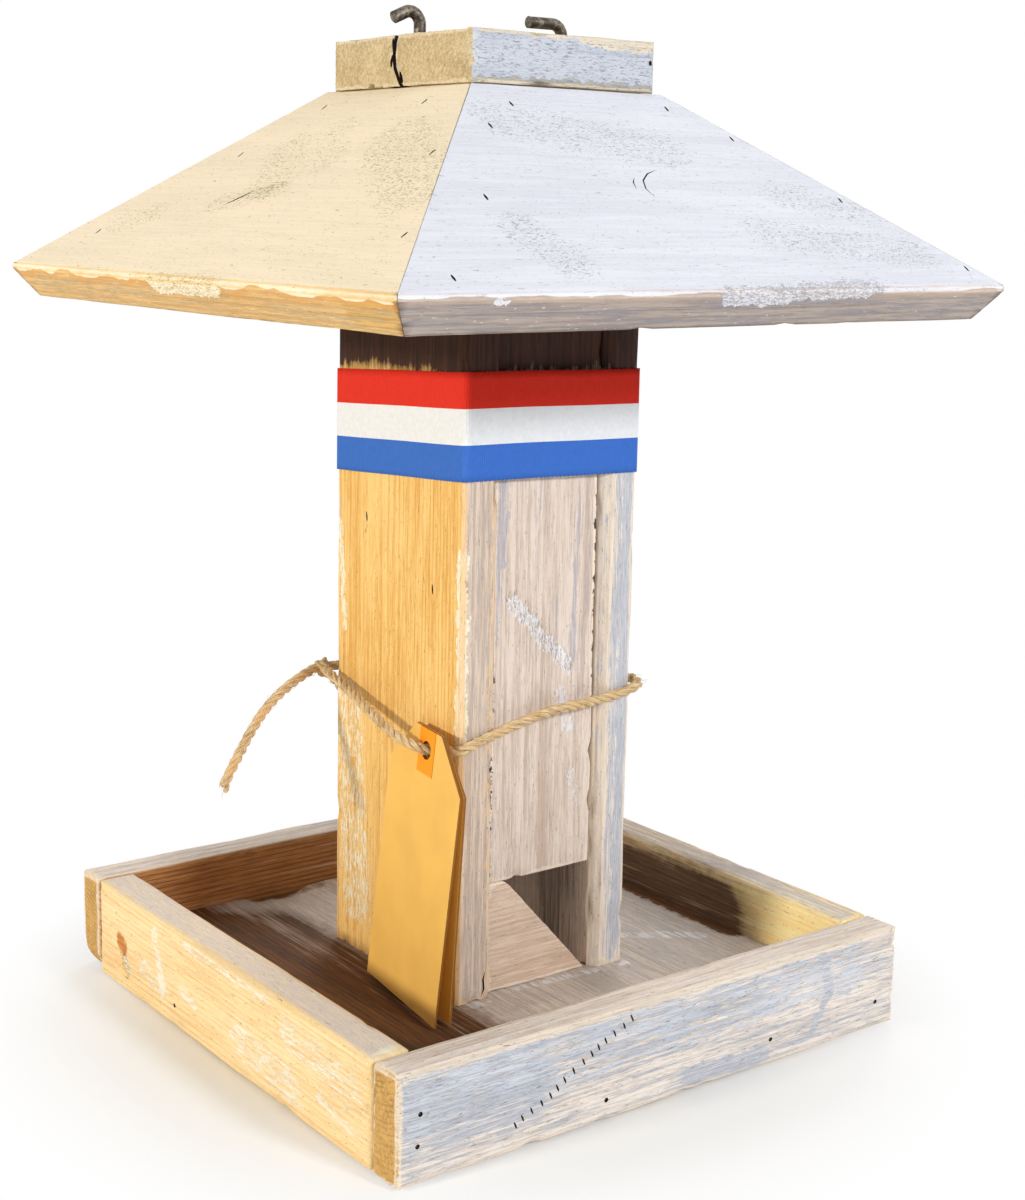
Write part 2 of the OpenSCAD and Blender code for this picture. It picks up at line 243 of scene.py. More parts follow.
# %% Lay the strands
LAY = 13 * MM
PLIES = 3
FRAYED = 8 * MM


def as_shown(thing):
    """A new mesh of what a curve or an object with modifiers shows."""
    bpy.context.view_layer.update()
    seen = thing.evaluated_get(bpy.context.evaluated_depsgraph_get())
    return bpy.data.meshes.new_from_object(seen)


def tubes(name, lines, radii, sides):
    """One mesh of round tubes along several lines, made from one bevelled curve."""
    curve = bpy.data.curves.new(name, "CURVE")
    curve.dimensions = "3D"
    curve.bevel_depth = 1
    curve.bevel_resolution = sides
    curve.use_fill_caps = True
    for line, radius in zip(lines, radii):
        spline = curve.splines.new("POLY")
        spline.points.add(len(line) - 1)
        for point, place, r in zip(spline.points, line, radius):
            point.co = (*place, 1)
            point.radius = r
    drawn = bpy.data.objects.new(name, curve)
    scene.collection.objects.link(drawn)
    mesh = as_shown(drawn)
    bpy.data.objects.remove(drawn)
    shape = bmesh.new()
    shape.from_mesh(mesh)
    bpy.data.meshes.remove(mesh)
    return shape


def strands(line, diameter, open_ends=True):
    """The plies' centre lines round a route, and their radii."""
    side = Vector((0, 0, 1)).cross(line[1] - line[0]).normalized()
    frames, travelled = [], 0
    for i, place in enumerate(line):
        ahead = (line[min(i + 1, len(line) - 1)] - line[max(i - 1, 0)]).normalized()
        side = (side - ahead * side.dot(ahead)).normalized()
        frames.append((place, side.copy(), ahead.cross(side), travelled))
        travelled += (line[min(i + 1, len(line) - 1)] - place).length
    ply_r = diameter / 2 / (1 + 2 / math.sqrt(3))
    lines, radii = [], []
    for k in range(PLIES):
        lines.append([])
        radii.append([])
        cut = (1.5 + 1.2 * k) * MM if open_ends else 0
        for place, across, up, run in frames:
            to_end = min(run, travelled - run)
            if to_end < cut:
                continue
            spread = 1 + (0.9 * max(0, 1 - to_end / FRAYED) ** 2 if open_ends else 0)
            angle = 2 * PI * (run / LAY + k / PLIES)
            wobble = 1 + 0.10 * noise.noise(Vector((run / (3 * MM), 7 * k, 0)))
            reach = (diameter / 2 - ply_r) * spread
            lines[k].append(place + reach * (math.cos(angle) * across + math.sin(angle) * up))
            radii[k].append(ply_r * 1.06 * wobble)
    return lines, radii


plies, ply_radii = strands(twine_line, TWINE_D)
print("Each ply is", round(length_of(plies[0]), 3), "m long")

# %% [markdown]
# Jute is a bast fibre, spun dry and loosely twisted: straw coloured, matt, with
# darker and lighter fibres lying along each ply and many stray hairs. The pattern
# is stretched noise, on the curve's own UV map, so the fibres follow the plies.

# %% Jute material
def spun_jute():
    made, tree = new_material("spun_jute")
    # The UV runs once along the ply and once round it: fibres about 0.3 mm wide
    place = add(tree, "Mapping", {"Vector": add(tree, "TexCoord", out="UV"),
                                  "Scale": (twine_length / (4 * MM), 9, 1)})
    fibres = add(tree, "TexNoise", {"Vector": place, "Scale": 1.0, "Detail": 4.0,
                                    "Roughness": 0.7})
    patches = add(tree, "TexNoise", {"Vector": add(tree, "TexCoord", out="Object"),
                                     "Scale": 1 / (9 * MM), "Detail": 2.0})
    colour = coat(tree, linear("#A27C4B"), linear("#EED6A8"), fibres, 0.3, 0.7)
    colour = coat(tree, colour, linear("#D8B380"), patches, 0.45, 0.7)
    surface(tree, colour, 0.9, fibres, 0.8, 0.25, Sheen_Weight=0.25, Sheen_Roughness=0.5)
    return made


jute = spun_jute()
twine = keep_piece("jute_twine", tubes("jute_twine", plies, ply_radii, 2), jute)
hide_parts("twine_loop", "twine_tail", "twine_short_tail")
print("Twine piece has", len(twine.data.polygons), "faces")

# %% [markdown]
# The knot is an overhand knot pulled tight. A trefoil is the closed form of that
# knot, so the same plies are laid round a small trefoil curve at the corner.

# %% Knot
KNOT_SIZE = 0.837 * MM
KNOT_STEPS = 72


def trefoil(t):
    """A place on a trefoil, which t goes once round in two pi."""
    return Vector((math.sin(t) + 2 * math.sin(2 * t), math.cos(t) - 2 * math.cos(2 * t),
                   -1.5 * math.sin(3 * t)))


knot_turn = Matrix.Rotation(math.radians(40), 3, "Z") @ Matrix.Rotation(math.radians(65), 3, "X")
knot_line = [Vector(KNOT) * MM + knot_turn @ trefoil(2 * PI * i / KNOT_STEPS) * KNOT_SIZE
             for i in range(KNOT_STEPS + 1)]
knot_plies, knot_radii = strands(knot_line, TWINE_D * 0.85, open_ends=False)
knot = keep_piece("jute_knot", tubes("jute_knot", knot_plies, knot_radii, 2), jute)
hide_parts("twine_knot")
print("Knot", round(length_of(knot_line), 3), "m long")

# %% [markdown]
# Stray hairs give jute its soft outline. Each is a thin curved tube that leaves
# the twine at a shallow angle. Their places come from a fixed noise, so that
# every run grows the same hairs.

# %% Stray hairs
HAIRS = 230
hair_lines, hair_radii = [], []
for i in range(HAIRS):
    at = round((i + 0.5) / HAIRS * (len(twine_line) - 3)) + 1
    ahead = (twine_line[at + 1] - twine_line[at - 1]).normalized()
    out = noise.noise_vector(Vector((i * 1.7, 3.1, 0.4)))
    out = (out - ahead * out.dot(ahead)).normalized()
    bend = noise.noise_vector(Vector((i * 2.3, 9.2, 5.5)))
    long = (2.2 + 3.2 * abs(noise.noise(Vector((i * 0.9, 0.2, 8.1))))) * MM
    start = twine_line[at] + out * TWINE_D * 0.42
    path = [start + ahead * long * s * (1 if i % 2 else -1) + out * long * 0.45 * s
            + bend * long * 0.5 * s * s for s in (0, 0.35, 0.7, 1)]
    hair_lines.append(path)
    hair_radii.append([0.09 * MM, 0.08 * MM, 0.06 * MM, 0.03 * MM])
hairs = keep_piece("jute_hairs", tubes("jute_hairs", hair_lines, hair_radii, 0), jute)
print("Hairs:", HAIRS)

# %% [markdown]
# ## Old boards
# Each board starts as a copy of its CAD node. The copy is loose triangles, so it
# is merged and its flat faces joined again. Then its arrises are bevelled, and it
# is cut into thin strips by planes: closely across the grain, where raised grain
# changes quickly, and widely along it. That leaves points to sculpt.

# %% Cut a board into strips
AXES = {"X": Vector((1, 0, 0)), "Y": Vector((0, 1, 0)), "Z": Vector((0, 0, 1))}


def clean_copy(node):
    """A CAD node's mesh as a bmesh, with its flat faces whole again."""
    shape = bmesh.new()
    shape.from_mesh(frame["nodes"][node].data)
    bmesh.ops.remove_doubles(shape, verts=shape.verts, dist=0.005 * MM)
    bmesh.ops.dissolve_limit(shape, angle_limit=PI / 180, verts=shape.verts,
                             edges=shape.edges)
    return shape


def slice_along(shape, direction, pitch):
    """Cuts the whole shape by evenly spaced planes across direction."""
    reach = [v.co.dot(direction) for v in shape.verts]
    count = max(1, round((max(reach) - min(reach)) / pitch))
    for i in range(1, count):
        at = min(reach) + (max(reach) - min(reach)) * i / count
        bmesh.ops.bisect_plane(shape, geom=shape.verts[:] + shape.edges[:] + shape.faces[:],
                               dist=0.001 * MM, plane_co=direction * at, plane_no=direction)


def is_level(edge):
    """True for an edge that doesn't climb, unlike a roof board's mitred hips."""
    along = edge.verts[1].co - edge.verts[0].co
    return abs(along.z) < 0.2 * along.length or abs(along.z) > 0.98 * along.length

# %% [markdown]
# Nail holes, splits and saw-tooth marks are cut out of the boards as prisms. Each
# mark is placed by looking straight at one side of the board: a ray finds where
# the board's skin is, and the skin's own direction gives the prism its depth.
# Every hole and slit over a nail gets a small brad head below the surface.
#
# A cut is written as its kind, the side that it is looked at from, its places on
# that side in mm, and its size. A crack's size is a width and a depth. A nail's
# or a hole's is a length, a width, a depth and a lean in degrees.

# %% Marks cut into a board
FAR = 900    # Where a look starts, well outside the feeder, in mm
PROUD = 0.8  # How far a cutter stands out of the skin, in mm
TAPER = 0.8  # How wide a cut's foot is, as a share of its mouth
LOOKS = {"left": lambda u, v: ((-FAR, u, v), (1, 0, 0)),
         "front": lambda u, v: ((u, -FAR, v), (0, 1, 0)),
         "above": lambda u, v: ((u, v, FAR), (0, 0, -1)),
         "right": lambda u, v: ((FAR, u, v), (-1, 0, 0)),
         "back": lambda u, v: ((u, FAR, v), (0, -1, 0))}
BRAD_HEAD, BRAD_FOOT, BRAD_TOP = 1.5, -2.5, -0.7
brads = bmesh.new()


def land(tree, look, at):
    """Where a straight look at a place meets the board, in mm, and the skin's direction."""
    start, way = LOOKS[look](*at)
    hit, normal, _, _ = tree.ray_cast(Vector(start) * MM, Vector(way))
    if hit is None:
        raise ValueError(f"the look from {look} at {at} misses the board")
    return hit / MM, normal


def oval(place, normal, along, length, width, sides=8):
    """Points of an oval in the skin, its long axis turned towards along."""
    along = (along - normal * along.dot(normal)).normalized()
    across = normal.cross(along)
    turns = [2 * PI * i / sides for i in range(sides)]
    return [place + along * math.cos(t) * length / 2 + across * math.sin(t) * width / 2
            for t in turns]


def crack_outline(line, normal, width):
    """The outline of a crack along a line of points, which tapers to both ends."""
    inner = line[1:-1]
    sides = [normal.cross(after - before).normalized() * width / 2
             for before, after in zip(line, line[2:])]
    left = [p + s for p, s in zip(inner, sides)]
    right = [p - s for p, s in zip(inner, sides)]
    return [line[0], *left, line[-1], *reversed(right)]


def prism(shape, outline, normal, low, high):
    """A closed prism over outline, in mm, from low to high along the skin's direction."""
    middle = sum(outline, Vector()) / len(outline)
    foot = [shape.verts.new((middle + (p - middle) * TAPER + normal * low) * MM)
            for p in outline]
    head = [shape.verts.new((p + normal * high) * MM) for p in outline]
    shape.faces.new(list(reversed(foot)))
    shape.faces.new(head)
    for i in range(len(outline)):
        k = (i + 1) % len(outline)
        shape.faces.new((foot[i], foot[k], head[k], head[i]))


def cutters(tree, marks):
    """A bmesh of prisms for all of a board's marks; nails also leave their brads."""
    shape = bmesh.new()
    for kind, look, places, *size in marks:
        if kind == "crack":
            width, depth = size
            found = [land(tree, look, at) for at in places]
            normal = found[0][1]
            outline = crack_outline([p for p, _ in found], normal, width)
            prism(shape, outline, normal, -depth, PROUD)
            continue
        length, width, depth, lean = size[0]
        for at in places:
            place, normal = land(tree, look, at)
            fall = Vector((0, 0, -1)) if abs(normal.z) < 0.95 else Vector((0, 1, 0))
            fall = Quaternion(normal, math.radians(lean)) @ fall
            prism(shape, oval(place, normal, fall, length, width), normal, -depth, PROUD)
            if kind == "nail":
                prism(brads, oval(place, normal, fall, BRAD_HEAD, BRAD_HEAD), normal,
                      BRAD_FOOT, BRAD_TOP)
    return shape


def cut_marks(shape, marks):
    """Cuts marks out of a board with Blender's Boolean modifier."""
    knife = cutters(BVHTree.FromBMesh(shape), marks)
    things = []
    # The cutter's faces take the second slot, the dark painted shade of the cuts
    for index, part in enumerate((shape, knife)):
        bmesh.ops.recalc_face_normals(part, faces=part.faces)
        for face in part.faces:
            face.material_index = max(index, face.material_index)
        mesh = bpy.data.meshes.new("cut_part")
        part.to_mesh(mesh)
        for _ in range(2):
            mesh.materials.append(None)
        things.append(bpy.data.objects.new("cut_part", mesh))
        scene.collection.objects.link(things[-1])
    knife.free()
    cut = things[0].modifiers.new("marks", "BOOLEAN")
    cut.operation, cut.solver, cut.object = "DIFFERENCE", "EXACT", things[1]
    result = as_shown(things[0])
    shape.clear()
    shape.from_mesh(result)
    # Blender removes an object with its mesh
    for mesh in (*[thing.data for thing in things], result):
        bpy.data.meshes.remove(mesh)

# %% [markdown]
# Weather rounds a board's arrises, lifts its hard grain and knocks chips off the edges. Every point
# moves inwards by a slow wave over the whole board, a ridge pattern stretched along the grain, and
# a wear that grows towards the nearest arris. A point near an arris moves inwards from both of its
# faces at once, so that the rounded arris keeps its shape. Four layers, for paint, a grey skin,
# darkening and a second tone, are kept as point attributes with the distance to the nearest arris,
# so that the finish follows the shape. The darkening layer holds the wood's own dark marks in a few
# places and painted shade in most. The second tone is a further tone of bare wood, and in places
# painted light: warm key light on left-facing rail ends, a sunlit patch on the right rail, and a
# pinkish grey shaded front on the left wall.

# %% Weather a board
LAYERS = ("paint", "grey", "stain_and_shade", "second_tone_and_light")
SIDES = {"left": (-1, 0, 0), "right": (1, 0, 0), "front": (0, -1, 0), "back": (0, 1, 0),
         "up": (0, 0, 1), "down": (0, 0, -1)}
NEAR_FACE = 3       # A point this close to a flat face moves in from it, in mm
RIDGE_STRETCH = 26  # How many times longer than wide a ridge of grain is
FAR_FROM_ARRIS = 8  # The largest distance to an arris that is kept, in mm


def gap_to_edge(point, edges):
    """Distance to the nearest arris, whose ends are given in pairs."""
    nearest = 1.0
    for a, b in edges:
        along = b - a
        t = min(1, max(0, (point - a).dot(along) / along.length_squared))
        nearest = min(nearest, (point - a - along * t).length)
    return nearest


def inward_way(v, planes):
    """The way in from every flat face that the point lies on or close to."""
    way = Vector()
    for normal, level in planes:
        depth = (level - normal.dot(v.co)) / MM
        if abs(depth) < NEAR_FACE and normal.dot(v.normal) > -0.1:
            way -= normal * min(1, (NEAR_FACE - abs(depth)) / 1.8)
    return way - v.normal * max(0, 1 - way.length)


def weather(shape, edges, planes, grain, seed, wear, relief, faces, dents):
    """Moves a board's points inwards and gives each point its layers."""
    layers = {name: shape.verts.layers.float.new(name) for name in (*LAYERS, "arris")}
    shape.normal_update()
    along = "XYZ".index(grain)
    place = Vector((seed * 3.7, seed * 1.3, seed * 2.9))
    moves = []
    for v in shape.verts:
        p = v.co / MM
        stretched = Vector(p)
        stretched[along] /= RIDGE_STRETCH
        ridge = noise.fractal(stretched / 1.7 + place, 0.8, 2.1, 2)
        slow = noise.noise(p / 34 + place)
        worn = 0.6 + 0.5 * noise.noise(p / 25 + place)
        chip = max(0, noise.noise(p / 6 + place) - 0.38) * 2.4
        gap = gap_to_edge(v.co, edges) / MM
        edge = max(0, 1 - gap / (1.6 * wear)) ** 2
        jitter = v.normal + 0.12 * noise.noise_vector(p / 4 + place)
        side = max(SIDES, key=lambda s: jitter.dot(Vector(SIDES[s])))
        values = {**faces["all"], **faces.get(side, {})}
        for name in LAYERS:
            v[layers[name]] = values.get(name, 0)
        v[layers["arris"]] = min(gap, FAR_FROM_ARRIS)
        inward = relief * (0.3 - 0.5 * ridge) + 0.10 * slow
        inward += wear * edge * (0.12 * worn + chip)
        for centre, reach, depth in dents:
            inward += depth * max(0, 1 - (p - Vector(centre)).length / reach) ** 1.5
        moves.append((v, inward_way(v, planes) * inward * MM))
    for v, move in moves:
        v.co += move


SHARP, CRISP = 0.35, 0.9  # Least angles at an arris and at the rim of a cut, in radians
FLAT_SIZE = 60 * MM * MM  # Least area of a face that counts as a board's side


def old_board(node, grain, material, faces, cuts=(), dents=(), rounding=0.6, wear=1.6,
              relief=0.14, across=1.5, run=5.0, split=None, seam=0.0):
    """Makes the weathered piece that stands for one of the CAD model's boards.

    faces gives the layers' values on the board's sides, and dents are places in mm
    with a reach and a depth. split is a box whose inner faces are a dark split's."""
    shape = clean_copy(node)
    planes = [(f.normal.copy(), f.normal.dot(f.verts[0].co)) for f in shape.faces
              if f.calc_area() > FLAT_SIZE]
    if seam:
        # Mitres that don't quite close show a fine dark line, here a narrow chamfer in the painted
        # shade of the cuts
        hips = [e for e in shape.edges if e.is_manifold and e.calc_face_angle() > SHARP
                and not is_level(e)]
        bmesh.ops.bevel(shape, geom=hips, offset=seam * MM, offset_type="OFFSET", segments=1,
                        profile=0.5, affect="EDGES", clamp_overlap=True, material=1)
    level = [e for e in shape.edges if e.is_manifold and e.calc_face_angle() > SHARP
             and is_level(e)]
    edges = [(e.verts[0].co.copy(), e.verts[1].co.copy()) for e in level
             if e.calc_length() > 3 * MM]
    bmesh.ops.bevel(shape, geom=level, offset=rounding * MM, offset_type="OFFSET", segments=2,
                    profile=0.5, affect="EDGES", clamp_overlap=True, material=-1)
    for axis, direction in AXES.items():
        slice_along(shape, direction, (run if axis == grain else across) * MM)
    if cuts:
        cut_marks(shape, cuts)
    # A split's inner faces take the dark painted shade of the cuts
    if split:
        low, high = split
        for face in shape.faces:
            middle = face.calc_center_median() / MM
            inside = all(low[i] < middle[i] < high[i] for i in range(3))
            if inside and abs(face.normal.x) < 0.9:
                face.material_index = 1
    weather(shape, edges, planes, grain, sum(map(ord, node)) % 97, wear, relief, faces, dents)
    # Mitres and the rims of cuts stay crisp: their two sides are shaded apart
    for edge in shape.edges:
        edge.smooth = not (edge.is_manifold and edge.calc_face_angle() > CRISP)
    piece = keep_piece(node + "_aged", shape, material, shade_in_cuts)
    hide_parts(node)
    print(node, len(piece.data.vertices), "points")
    return piece

# %% [markdown]
# ## Wood finish
# The boards are softwood, built up in the order in which they aged. First comes the wood: fine
# fibres and soft streaks along the grain, with darker late wood lines that are cylinders about the
# tree's pith, so that they run straight on a face and bend on a sawn end. Over it lie a silver-grey
# skin in streaks and old paint that flaked along the grain. Arrises are rubbed back to fresh wood,
# and short scratches and open pores cut through the paint. A brown layer then darkens chosen
# places: a few are the wood's own darker marks, most are painted shade under the roof, in gaps, in
# dips and in cast shadows, and some inner faces and undersides are simply darker.
#
# A mark is a layer's name, two points in mm, a width and an amount. It raises
# that layer round the line between the points, with a ragged border.

# %% Weathered pine
RAGGED = 7                 # How far the noise moves a mark's border, in mm
RING_GAP = 1.9             # From one line of late wood to the next, in mm
WAVE_REPEAT = 2 * PI / 20  # The wave texture's own repeat at a scale of 1


# brown is the colour of the darkening layer, which is painted shade in most places and the wood's
# own marks in a few
def old_pine(name, grain, tones, seed, marks=(), flake=(11, 3), pith=(30, -22), lines=0.3,
             edge=1.2, scratch=(2.6, 0.5), paint_to=None, raised=0.15, pores=0.5,
             second_tone_and_light=("#D6AC68", "#A97F42"), brown=("#432216", "#24110B")):
    """Old softwood whose fibres run along grain. tones are its colours as sRGB hex.

    flake and scratch are a length and a width in mm, pith is where the tree's pith
    lies across the grain, and edge is about how far arrises are rubbed bare, in mm.
    paint_to is the height at which the paint ends, and how far that line wanders."""
    made, tree = new_material(name)
    tone = {key: linear(value) for key, value in tones.items()}
    mm = add(tree, "VectorMath", (add(tree, "TexCoord", out="Object"), (1 / MM,) * 3),
             operation="MULTIPLY")
    x, y, z = add(tree, "SeparateXYZ", (mm,), out=ALL)
    order = {"X": (x, y, z), "Y": (y, x, z), "Z": (z, x, y)}[grain]
    lengthways = add(tree, "CombineXYZ", order)

    def grained(run, width, detail=3.0, rough=0.6, **more):
        """Noise with cells run mm long on the grain and width mm across it."""
        place = add(tree, "VectorMath", (lengthways, (1 / run, 1 / width, 1 / width),
                                         (seed, seed, seed)), operation="MULTIPLY_ADD")
        return add(tree, "TexNoise", {"Vector": place, "Scale": 1.0, "Detail": detail,
                                      "Roughness": rough, **more})

    fibres, streaks, drift = grained(8, 0.4), grained(34, 1.3), grained(95, 10, 2.0)
    flakes, flecks = grained(*flake, 7.0, 0.68), grained(4, 0.55, 2.0)

    # Marks are measured from a place that the noise has shifted, for ragged borders
    shift = add(tree, "TexNoise", {"Vector": mm, "Scale": 0.22, "Detail": 4.0,
                                   "Roughness": 0.7}, out="Color")
    ragged = add(tree, "VectorMath", (shift, (RAGGED,) * 3, mm), operation="MULTIPLY_ADD")

    def marked(start, end, width):
        """1 within about width mm of the line from start to end."""
        way = Vector(end) - Vector(start)
        origin = Vector(start) + Vector((RAGGED,) * 3) / 2
        gone = add(tree, "VectorMath", (ragged, origin), operation="SUBTRACT")
        share = add(tree, "VectorMath", (gone, way / way.length_squared),
                    operation="DOT_PRODUCT")
        share = add(tree, "Math", (share, 0.0), operation="ADD", use_clamp=True)
        nearest = add(tree, "VectorMath", (way, share), operation="SCALE")
        gone = add(tree, "VectorMath", (gone, nearest), operation="SUBTRACT")
        gone = add(tree, "VectorMath", (gone,), operation="LENGTH")
        return add(tree, "MapRange", (gone, 1.3 * width, 0.6 * width), **SMOOTH)

    layer = {key: add(tree, "Attribute", out="Fac", attribute_name=key)
             for key in (*LAYERS, "arris")}
    layer.update(bare=0.0, scuff=0.0, lap=0.0)
    for key, start, end, width, amount in marks:
        layer[key] = total(tree, layer[key], (marked(start, end, width), amount))

    # Wood: tones drift, and late wood rings stand about the pith
    centred = add(tree, "VectorMath", (lengthways, (0.03, 1, 1), (0, -pith[0], -pith[1])),
                  operation="MULTIPLY_ADD")
    rings = add(tree, "TexWave", {"Vector": centred, "Scale": WAVE_REPEAT / RING_GAP,
                                  "Distortion": 4.5, "Detail": 3.0, "Detail Scale": 0.12,
                                  "Detail Roughness": 0.6},
                out="Fac", wave_type="RINGS", rings_direction="X", wave_profile="SAW")
    late = add(tree, "MapRange", (rings, 0.55, 1.0), **SMOOTH)
    depth = total(tree, 0.0, (drift, 0.25), (streaks, 0.4), (fibres, 0.35),
                  (late, 0.25 * lines, 0.3))
    depth = add(tree, "MapRange", (depth, 0.39, 0.62), **SMOOTH)
    wood = add(tree, "Mix", (depth, tone["early"], tone["late"]), **COLOURS)
    # The second tone: a further tone of bare wood, and in places painted light, such as warm key
    # light on left-facing ends and the sunlit patch on the right rail
    second = add(tree, "Mix", (depth, *map(linear, second_tone_and_light)), **COLOURS)
    wood = coat(tree, wood, second, total(tree, layer["second_tone_and_light"], (streaks, 1.2, 0.5)), 0.3, 0.7)

    # Silver skin in streaks along the grain
    skin = total(tree, layer["grey"], (fibres, 0.7, 0.5), (streaks, 1.3, 0.5))
    silver = coat(tree, tone["skin"], tone["grey"], fibres, 0.35, 0.65)
    wood = coat(tree, wood, silver, skin, 0.32, 0.68, 0.92)

    # Paint: solid where the layer is 1, half flaked off where it is 0.5
    cover = total(tree, layer["paint"], (fibres, 0.6, 0.5), (flakes, 1.7, 0.5))
    painted = add(tree, "MapRange", (cover, 0.47, 0.53), **SMOOTH)
    if paint_to:
        level, lap = paint_to
        wave = add(tree, "MapRange", (grained(18, 900, 1.6, 0.5), 0.35, 0.65, 0.0, lap),
                   **SMOOTH)
        over = total(tree, wave, (z, 1.0, level))
        # Just below the paint's edge lies a band of wood that it sheltered
        band = add(tree, "MapRange", (over, -3.2, -1.0, 0.0, 0.55), **SMOOTH)
        below = add(tree, "MapRange", (over, 1.5, 0.5), **SMOOTH)
        band = add(tree, "Math", (band, below), operation="MULTIPLY")
        wood = add(tree, "Mix", (band, wood, tone["sheltered"]), **COLOURS)
        over = add(tree, "Math", (over, layer["lap"]), operation="ADD")
        above = add(tree, "MapRange", (over, -0.15, 0.15), **SMOOTH)
        painted = add(tree, "Math", (painted, above), operation="MULTIPLY")
    chalky = total(tree, 0.0, (streaks, 0.5), (drift, 0.5))
    paint = coat(tree, tone["paint"], tone["chalk"], chalky, 0.4, 0.62, 0.8)
    wood = add(tree, "Mix", (painted, wood, paint), **COLOURS)

    # Arrises and knocks rubbed back to fresh wood
    rubbed = total(tree, -1.9 * edge, (layer["arris"], -1.0), (flakes, 3.0 * edge),
                   (drift, 3.0 * edge))
    rubbed = add(tree, "MapRange", (rubbed, -0.3, 0.6, 0.0, 0.85), **SMOOTH)
    knocked = total(tree, layer["bare"], (flakes, 1.4, 0.5))
    knocked = add(tree, "MapRange", (knocked, 0.45, 0.55, 0.0, 0.85), **SMOOTH)
    rubbed = add(tree, "Math", (rubbed, knocked), operation="MAXIMUM")
    fresh = coat(tree, tone["fresh"], tone["late"], depth, 0.0, 1.0, 0.35)
    wood = add(tree, "Mix", (rubbed, wood, fresh), **COLOURS)

    # Short scratches, open pores and specks of paint left in the grain
    scratches = total(tree, grained(*scratch, 2.0, 0.5, Distortion=1.2), (layer["scuff"], 0.13))
    scratches = add(tree, "MapRange", (scratches, 0.66, 0.72, 0.0, 0.8), **SMOOTH)
    wood = add(tree, "Mix", (scratches, wood, tone["scuff"]), **COLOURS)
    open_pores = add(tree, "MapRange", (flecks, 0.66, 0.74, 0.0, pores), **SMOOTH)
    wood = add(tree, "Mix", (open_pores, wood, tone["dirt"]), **COLOURS)
    specks = total(tree, 1.0, (flecks, -1.0), (layer["paint"], 0.04 if paint_to else 0.12))
    wood = coat(tree, wood, tone["paint"], specks, 0.72, 0.78, 0.8)

    # Painted shade under the roof, in gaps and in cast shadows, and the wood's own darker marks,
    # soak in by streaks and never quite hide the wood
    soaked = add(tree, "Math", (streaks, drift), operation="ADD")
    soaked = add(tree, "MapRange", (soaked, 0.6, 1.2, 0.6, 1.6), **SMOOTH)
    stain_and_shade = add(tree, "Math", (layer["stain_and_shade"], soaked), operation="MULTIPLY")
    stain_and_shade = add(tree, "Math", (stain_and_shade, 0.985), operation="MINIMUM")
    dark = add(tree, "Mix", (depth, *map(linear, brown)), **COLOURS)
    wood = add(tree, "Mix", (stain_and_shade, wood, dark), **COLOURS)

    # Hard fibres and paint stand proud; pores and scratches are open
    height = total(tree, 0.0, (late, 0.3), (fibres, 1.6), (streaks, 1.0), (open_pores, -1.0),
                   (scratches, -0.5), (painted, 0.5))
    rough = add(tree, "MapRange", (painted, 0.0, 1.0, 0.8, 0.62))
    surface(tree, wood, rough, height, 0.7, raised, Specular_IOR_Level=0.3)
    return made


def shadowed_wood():
    """Painted shade: a dark brown for the walls of nail holes and splits and for the hips' fine
    seams.
    """
    made, tree = new_material("painted_shade_in_cuts")
    dark = add(tree, "BsdfPrincipled", {"Base Color": linear("#35241A"), "Roughness": 0.9})
    add(tree, "OutputMaterial", (dark,))
    return made


shade_in_cuts = shadowed_wood()

# %% [markdown]
# ## The tray
# Five boards: a floor held between four rails. The front and back rails run the
# full width and cover the ends of the side rails. Each board has its own finish,
# because each came from another plank: the side rails are honey-coloured pine
# with flecks of cream paint, and the front rail is silvered and blue-white.

# %% Tray boards
HONEY = dict(early="#F4CC84", late="#D9A24F", skin="#C9B7A6", grey="#B3A69F", paint="#F3E7C6",
             chalk="#E6D3A4", fresh="#F7D99A", scuff="#8F7443", dirt="#4A3320")
RAIL = dict(HONEY, early="#F9DFB0", late="#E6BF88", skin="#E6DACD", grey="#D6CBC4",
            paint="#F3ECDA", chalk="#E4DCC8", fresh="#F3D7A0")
SILVER = dict(early="#EFE4DA", late="#CBB9AA", skin="#C9C9CE", grey="#ACB0BB",
              paint="#D3D7E0", chalk="#B4BAC6", fresh="#F3E2CC", scuff="#85868E", dirt="#4B3A2E")
LEFT_X, RIGHT_X = -118, 118
FRONT_Y, BACK_Y = -118, 118
FLOOR_Z = 18


def moved(marks, change):
    """Marks with both of their points changed."""
    return [(layer, change(start), change(end), width, amount)
            for layer, start, end, width, amount in marks]


def on_side(axis, level, marks):
    """Marks written with two numbers a point, on the side where axis is at level."""
    at = "XYZ".index(axis)
    return moved(marks, lambda point: (*point[:at], level, *point[at:]))


# The front and back rails' left ends take the second tone, honey: painted warm key light on their
# end grain
front_rail = old_pine(
    "silvered_pine_front_rail", "X", SILVER, 3.1, flake=(20, 0.9), pith=(-100, 64),
    lines=0.2, raised=0.3, edge=0.8, pores=0.6, marks=on_side("Y", FRONT_Y, [
        ("paint", (-108, 30), (90, 30), 13, 0.22),
        ("grey", (-112, 28), (-66, 22), 13, 0.35),
        ("grey", (10, 5), (45, 3), 5, 0.4),
        ("grey", (76, 37), (81, 22), 2.6, 0.34),
        ("grey", (81, 22), (72, 7), 2.0, 0.34),
        ("bare", (-116, 40), (90, 40), 2.2, 0.6)]) + [
        ("second_tone_and_light", (LEFT_X, -110, 10), (LEFT_X, -110, 32), 8, 1.0)])
back_rail = old_pine(
    "silvered_pine_back_rail", "X", SILVER, 8.4, flake=(18, 1.0), pith=(130, -30), lines=0.5,
    raised=0.3, brown=("#C98C50", "#8E5E34"), marks=[
        ("paint", (-60, BACK_Y, 28), (60, BACK_Y, 16), 12, 0.25),
        ("second_tone_and_light", (LEFT_X, 110, 10), (LEFT_X, 110, 32), 8, 1.0)])
